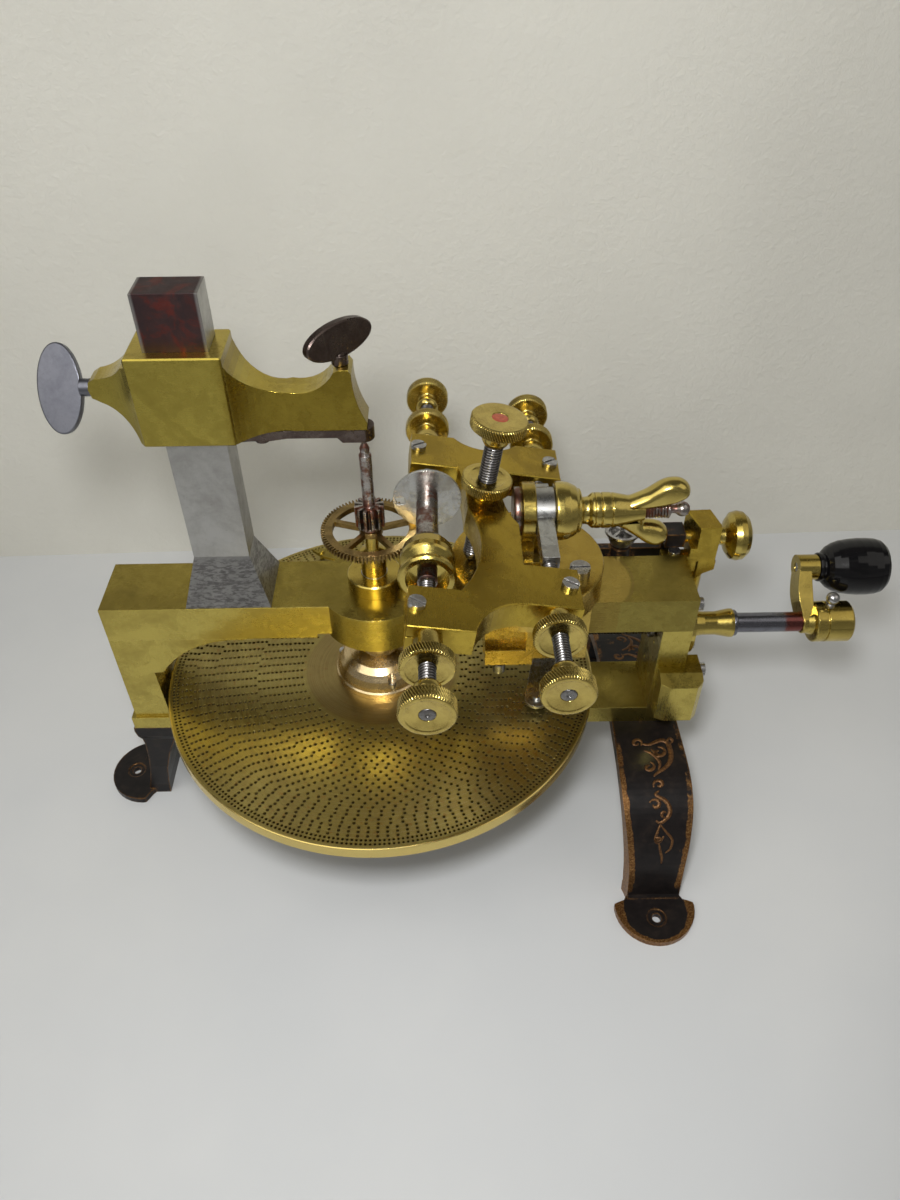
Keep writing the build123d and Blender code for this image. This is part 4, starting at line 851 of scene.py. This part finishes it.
# ---------------------------------------------------------------------------
# wing nut: turned body and two soft cast wings
# ---------------------------------------------------------------------------
def wingnut():
    prof = [(4.05, 0.3), (12.2, 0.05), (12.7, 0.5), (12.8, 1.2), (12.8, 3.5), (12.3, 6.2), (10.8, 9.2), (9.6, 10.4), (9.6, 11.2), (8.0, 11.8),
            (6.0, 12.6), (5.9, 13.6), (6.1, 14.8), (7.4, 16.2), (7.75, 17.0), (7.7, 17.3), (7.25, 17.5), (7.75, 17.8), (7.8, 20.0), (7.25, 20.4),
            (7.8, 20.8), (7.8, 24.4), (7.25, 24.8), (7.7, 25.2), (7.3, 27.4), (6.6, 31.0), (5.4, 36.0), (4.9, 39.3), (4.05, 39.4), (4.05, 0.3)]
    rows = fillet(prof, 0.35)
    ob = lathe("wing_nut_turned", rows, (79.2, 0, 96.0), (1, 0, 0), MATS["wing_brass"], 96, None, 28)
    stand_for(ob, "tilt_nut", "wing_nut", "wing_brass")
    up = [(106.0, 96.8), (106.0, 100.8), (109.0, 101.6), (112.3, 102.6), (118.1, 105.6), (121.9, 108.7), (124.5, 110.6), (127.7, 111.7),
          (131.5, 111.8), (134.5, 110.7), (136.5, 108.4), (137.2, 105.4), (135.8, 102.9), (131.6, 100.5), (126.9, 99.0), (119.0, 97.6)]
    dn = [(106.0, 95.2), (106.0, 89.0), (109.2, 87.6), (111.4, 86.2), (117.1, 81.9), (119.8, 79.6), (122.8, 78.0), (125.8, 77.6), (128.5, 78.6),
          (130.4, 80.8), (130.9, 83.4), (130.0, 86.0), (127.6, 88.2), (124.1, 89.3), (118.6, 89.8), (118.2, 95.2)]
    for nm, pts in (("wing_upper", up), ("wing_lower", dn)):
        # resample the outline and sweep towards its medial line with a rounded section
        n = 96
        seg, tot = [], 0.0
        for i in range(len(pts)):
            a, b = Vector(pts[i]), Vector(pts[(i + 1) % len(pts)])
            seg.append((tot, a, b, (b - a).length))
            tot += (b - a).length
        out = []
        for i in range(n):
            s = tot * i / n
            for t0, a, b, ln in seg:
                if t0 <= s <= t0 + ln + 1e-9:
                    out.append(a + (b - a) * ((s - t0) / ln))
                    break
        for _ in range(3):
            out = [(out[i - 1] + out[i] * 2 + out[(i + 1) % n]) / 4 for i in range(n)]
        verts, loops = [], []
        steps = [(0.0, 0.0), (0.25, 1.5), (0.8, 2.9), (1.6, 3.9), (2.6, 4.5), (3.6, 4.8)]
        for side in (-1, 1):
            order = steps[::-1] if side < 0 else steps
            for ins, th in order:
                if side > 0 and ins == 0.0:
                    continue
                cur = []
                for i in range(n):
                    a, b = out[i - 1], out[(i + 1) % n]
                    tng = (b - a).normalized()
                    nr = Vector((-tng.y, tng.x))
                    cen = sum(out, Vector((0, 0))) / n
                    if (cen - out[i]).dot(nr) < 0:
                        nr = -nr
                    p = out[i] + nr * ins * 0.9
                    verts.append((p.x, side * th, p.y))
                    cur.append(len(verts) - 1)
                loops.append(cur)
        faces = []
        for A, B in zip(loops, loops[1:]):
            for i in range(n):
                j = (i + 1) % n
                faces.append((A[i], A[j], B[j], B[i]))
        faces.append(tuple(loops[0][::-1]))
        faces.append(tuple(loops[-1]))
        w = mesh_obj(nm, verts, faces, MATS["wing_brass"], True, 60)
        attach(w, "tilt_nut")


wingnut()


# ---------------------------------------------------------------------------
# faded gilt scrollwork on the long feet
# ---------------------------------------------------------------------------
def through(pts, k=4):
    """Smooth curve through the points (Catmull-Rom), k steps to each span."""
    out = []
    n = len(pts)
    for i in range(n - 1):
        p0, p1, p2, p3 = pts[max(0, i - 1)], pts[i], pts[i + 1], pts[min(n - 1, i + 2)]
        for j in range(k):
            t = j / k
            out.append(tuple(0.5 * (2 * p1[c] + (p2[c] - p0[c]) * t
                                    + (2 * p0[c] - 5 * p1[c] + 4 * p2[c] - p3[c]) * t * t
                                    + (3 * p1[c] - p0[c] - 3 * p2[c] + p3[c]) * t ** 3) for c in (0, 1)))
    out.append(tuple(pts[-1]))
    return out


STRAP = through([(-4.0, -27.0), (-30.0, -27.2), (-46.0, -28.6), (-58.0, -32.4), (-67.0, -39.0), (-74.0, -48.5), (-79.0, -60.0),
                 (-81.6, -71.0), (-83.4, -79.5)], 4)


def strap_point(s, w, sign, lift=0.06):
    """s: length along the strap (mm) from the frame, w: across.  Returns a point just above the face."""
    prof = STRAP
    acc = 0.0
    for i in range(len(prof) - 1):
        a, b = Vector(prof[i]), Vector(prof[i + 1])
        ln = (b - a).length
        if s <= acc + ln or i == len(prof) - 2:
            d = (b - a) / ln
            p = a + d * (s - acc)
            nrm = Vector((d.y, -d.x))
            if nrm.y < 0 and abs(nrm.y) > abs(nrm.x):
                nrm = -nrm
            if nrm.x > 0 and abs(nrm.x) > abs(nrm.y):
                nrm = -nrm
            p = p + nrm * lift
            return (133 + w, -sign * p.x if sign > 0 else p.x, p.y)
        acc += ln
    return None


def scrolls(sign, tag):
    def mid(y):
        tab = ((280, 305), (400, 325), (500, 340), (600, 348), (700, 345), (860, 320))
        for (ya, xa), (yb, xb) in zip(tab, tab[1:]):
            if y <= yb:
                return xa + (xb - xa) * (y - ya) / (yb - ya)
        return 320

    def curl(x, y, r0, r1, a0, a1, n=9):
        return [(x + (r0 + (r1 - r0) * i / n) * math.cos(math.radians(a0 + (a1 - a0) * i / n)),
                 y + (r0 + (r1 - r0) * i / n) * math.sin(math.radians(a0 + (a1 - a0) * i / n))) for i in range(n + 1)]
    raw = [
        (curl(276, 328, 4, 17, 0, 400), 1.7),
        ([(292, 332), (312, 336), (332, 326), (350, 319), (366, 326), (374, 346), (379, 374), (376, 402), (361, 424), (341, 440), (328, 453)], 2.6),
        ([(364, 326), (374, 312), (384, 320), (378, 332)], 1.5),
        (curl(343, 366, 22, 5, -100, 270), 2.0),
        (curl(314, 420, 18, 4, -80, 290), 1.8),
        ([(298, 358), (318, 368), (336, 386), (346, 408), (342, 430)], 1.9),
        ([(318, 352), (334, 372), (344, 396)], 1.4),
        (curl(344, 480, 17, 4, 150, 500), 1.9),
        ([(346, 500), (334, 511), (346, 521), (362, 531), (374, 549), (377, 570), (366, 589), (350, 600), (338, 592)], 2.2),
        (curl(334, 543, 18, 4, -160, 190), 1.8),
        (curl(362, 572, 12, 4, 60, 330), 1.5),
        ([(350, 604), (366, 628), (384, 655), (379, 686), (364, 702)], 1.3),
        ([(352, 602), (341, 632), (336, 656), (350, 660), (360, 642)], 1.5),
        (curl(346, 657, 12, 4, 100, 420), 1.5),
        ([(346, 666), (350, 692), (353, 718), (349, 742)], 1.3),
    ]
    strokes = []
    for pts, wd in raw:
        pts = through(pts, 5)
        strokes.append(([(34 + 0.153 * (y - 380), (x - mid(y)) / 6.0) for x, y in pts], wd))
    verts, faces = [], []
    for pts, wd in strokes:
        n = len(pts)
        base = len(verts)
        for i, (s, w) in enumerate(pts):
            a = pts[max(0, i - 1)]
            b = pts[min(n - 1, i + 1)]
            ds, dw = b[0] - a[0], b[1] - a[1]
            ln = math.hypot(ds, dw) or 1
            half = wd * 0.5 * (0.35 + 0.65 * math.sin(math.pi * min(1, (i + 0.6) / n)))
            for sd in (-1, 1):
                ps, pw = s - dw / ln * half * sd, w + ds / ln * half * sd
                verts.append(strap_point(ps, pw, sign, 0.05))
        top = len(verts) - base
        for i in range(n - 1):
            q = base + 2 * i
            faces.append((q, q + 1, q + 3, q + 2))
    return verts, faces


for sign, tag in ((-1, "front"), (1, "rear")):
    v, f = scrolls(sign, tag)
    g = mesh_obj("gilt_" + tag, v, f, GILT, True, 40)
    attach(g, "frame")
    sol = g.modifiers.new("thick", "SOLIDIFY")
    sol.thickness = 0.00006
    sol.offset = 0.0

# ---------------------------------------------------------------------------
# stage
# ---------------------------------------------------------------------------
def plaster(name, c0, c1, bump, scale, painted_high_shade=False):
    k = Mat(name)
    n = k.noise(0.006, 4, 0.5)
    col = k.mix(k.smooth(n, 0.3, 0.7), c0, c1)
    if painted_high_shade:
        z = k.sep()[2]
        # painted shade: the wall darkens above z 255 mm
        col = k.mix(k.smooth(z, 255.0, 420.0), col, (0.16, 0.15, 0.135))
    else:
        x, y, z = k.sep()
        # painted shade: the floor darkens towards the near right corner
        painted_corner_shade = k.smooth(k.math("SUBTRACT", x, k.math("MULTIPLY", y, 0.8)), 300.0, 560.0)
        col = k.mix(k.math("MULTIPLY", painted_corner_shade, 0.62), col, (0.25, 0.245, 0.23))
    k.link(col, k.b.inputs["Base Color"])
    h = k.noise(scale, 6, 0.62, distort=0.35)
    k.link(k.bump(h, bump, 1.2), k.b.inputs["Normal"])
    k.b.inputs["Roughness"].default_value = 0.85
    k.b.inputs["Specular IOR Level"].default_value = 0.2
    return k.m


def quad(name, pts, m):
    me = bpy.data.meshes.new(name)
    me.from_pydata([tuple(P(*p)) for p in pts], [], [tuple(range(len(pts)))])
    me.update()
    ob = bpy.data.objects.new(name, me)
    sc.collection.objects.link(ob)
    me.materials.append(m)
    return ob


def wall_y(x):
    return 201.2 + (x - 37.5) * 0.0227


FLOOR = plaster("floor_paint", (0.60, 0.61, 0.615), (0.65, 0.655, 0.65), 0.03, 0.05)
WALLM = plaster("wall_plaster", (0.68, 0.665, 0.60), (0.74, 0.725, 0.655), 0.55, 0.22, True)
fl = quad("floor", [(-1500, -1600, -85), (1600, -1600, -85), (1600, wall_y(1600), -85), (-1500, wall_y(-1500), -85)], FLOOR)
wl = quad("wall", [(-1500, wall_y(-1500), -85), (1600, wall_y(1600), -85), (1600, wall_y(1600), 1600), (-1500, wall_y(-1500), 1600)], WALLM)

# ---------------------------------------------------------------------------
# light
# ---------------------------------------------------------------------------
w = bpy.data.worlds.new("room")
sc.world = w
w.use_nodes = True
t = w.node_tree
t.nodes.clear()
wo = t.nodes.new("ShaderNodeOutputWorld")
bg = t.nodes.new("ShaderNodeBackground")
tc = t.nodes.new("ShaderNodeTexCoord")
sp = t.nodes.new("ShaderNodeSeparateXYZ")
t.links.new(tc.outputs["Generated"], sp.inputs[0])
mr = t.nodes.new("ShaderNodeMapRange")
mr.inputs[1].default_value = -0.2
mr.inputs[2].default_value = 1.0
t.links.new(sp.outputs[2], mr.inputs[0])
cr = t.nodes.new("ShaderNodeValToRGB")
el = cr.color_ramp.elements
el[0].position = 0.0
el[0].color = (0.24, 0.24, 0.235, 1)
el[1].position = 1.0
el[1].color = (0.10, 0.10, 0.095, 1)
e2 = el.new(0.45)
e2.color = (0.16, 0.155, 0.145, 1)
t.links.new(mr.outputs[0], cr.inputs[0])
t.links.new(cr.outputs[0], bg.inputs[0])
bg.inputs[1].default_value = 1.0
t.links.new(bg.outputs[0], wo.inputs[0])


def area(name, loc, target, size, power, color=(1, 1, 1), size_y=None):
    l = bpy.data.lights.new(name, "AREA")
    l.energy = power
    l.color = color
    l.shape = "RECTANGLE" if size_y else "SQUARE"
    l.size = size
    if size_y:
        l.size_y = size_y
    ob = bpy.data.objects.new(name, l)
    sc.collection.objects.link(ob)
    a, b = P(*loc), P(*target)
    ob.location = a
    d = (b - a).normalized()
    ob.rotation_euler = d.to_track_quat("-Z", "Y").to_euler()
    return ob


area("flash", (5, -300, 405), (30, 10, -20), 0.06, 1.55, (0.97, 0.985, 1.0))
area("room", (-420, -520, 980), (30, 40, 20), 1.1, 5.6, (1.0, 0.98, 0.94))
area("right", (760, -260, 760), (60, 60, 0), 0.8, 1.3, (1.0, 0.95, 0.87))

# ---------------------------------------------------------------------------
# camera
# ---------------------------------------------------------------------------
th, ps, ro = math.radians(42.74), math.radians(0.81), math.radians(-0.39)
fw = Vector((math.sin(ps) * math.cos(th), math.cos(ps) * math.cos(th), -math.sin(th)))
rt = Vector((math.cos(ps), -math.sin(ps), 0))
up = rt.cross(fw)
rx = rt * math.cos(ro) + up * math.sin(ro)
uy = -rt * math.sin(ro) + up * math.cos(ro)
cam = bpy.data.cameras.new("camera")
cam.sensor_fit = "VERTICAL"
cam.sensor_height = 36.0
cam.lens = 912.41 * 36.0 / 1200.0
cam.clip_start = 0.01
co = bpy.data.objects.new("camera", cam)
sc.collection.objects.link(co)
m = Matrix.Identity(4)
for i, col in enumerate((rx, uy, -fw)):
    for j in range(3):
        m[j][i] = col[j]
c0 = P(29.93, -314.91, 335.5)
for j in range(3):
    m[j][3] = c0[j]
co.matrix_world = m
sc.camera = co
sc.view_settings.view_transform = "Standard"
sc.view_settings.look = "None"
sc.view_settings.exposure = 0.0
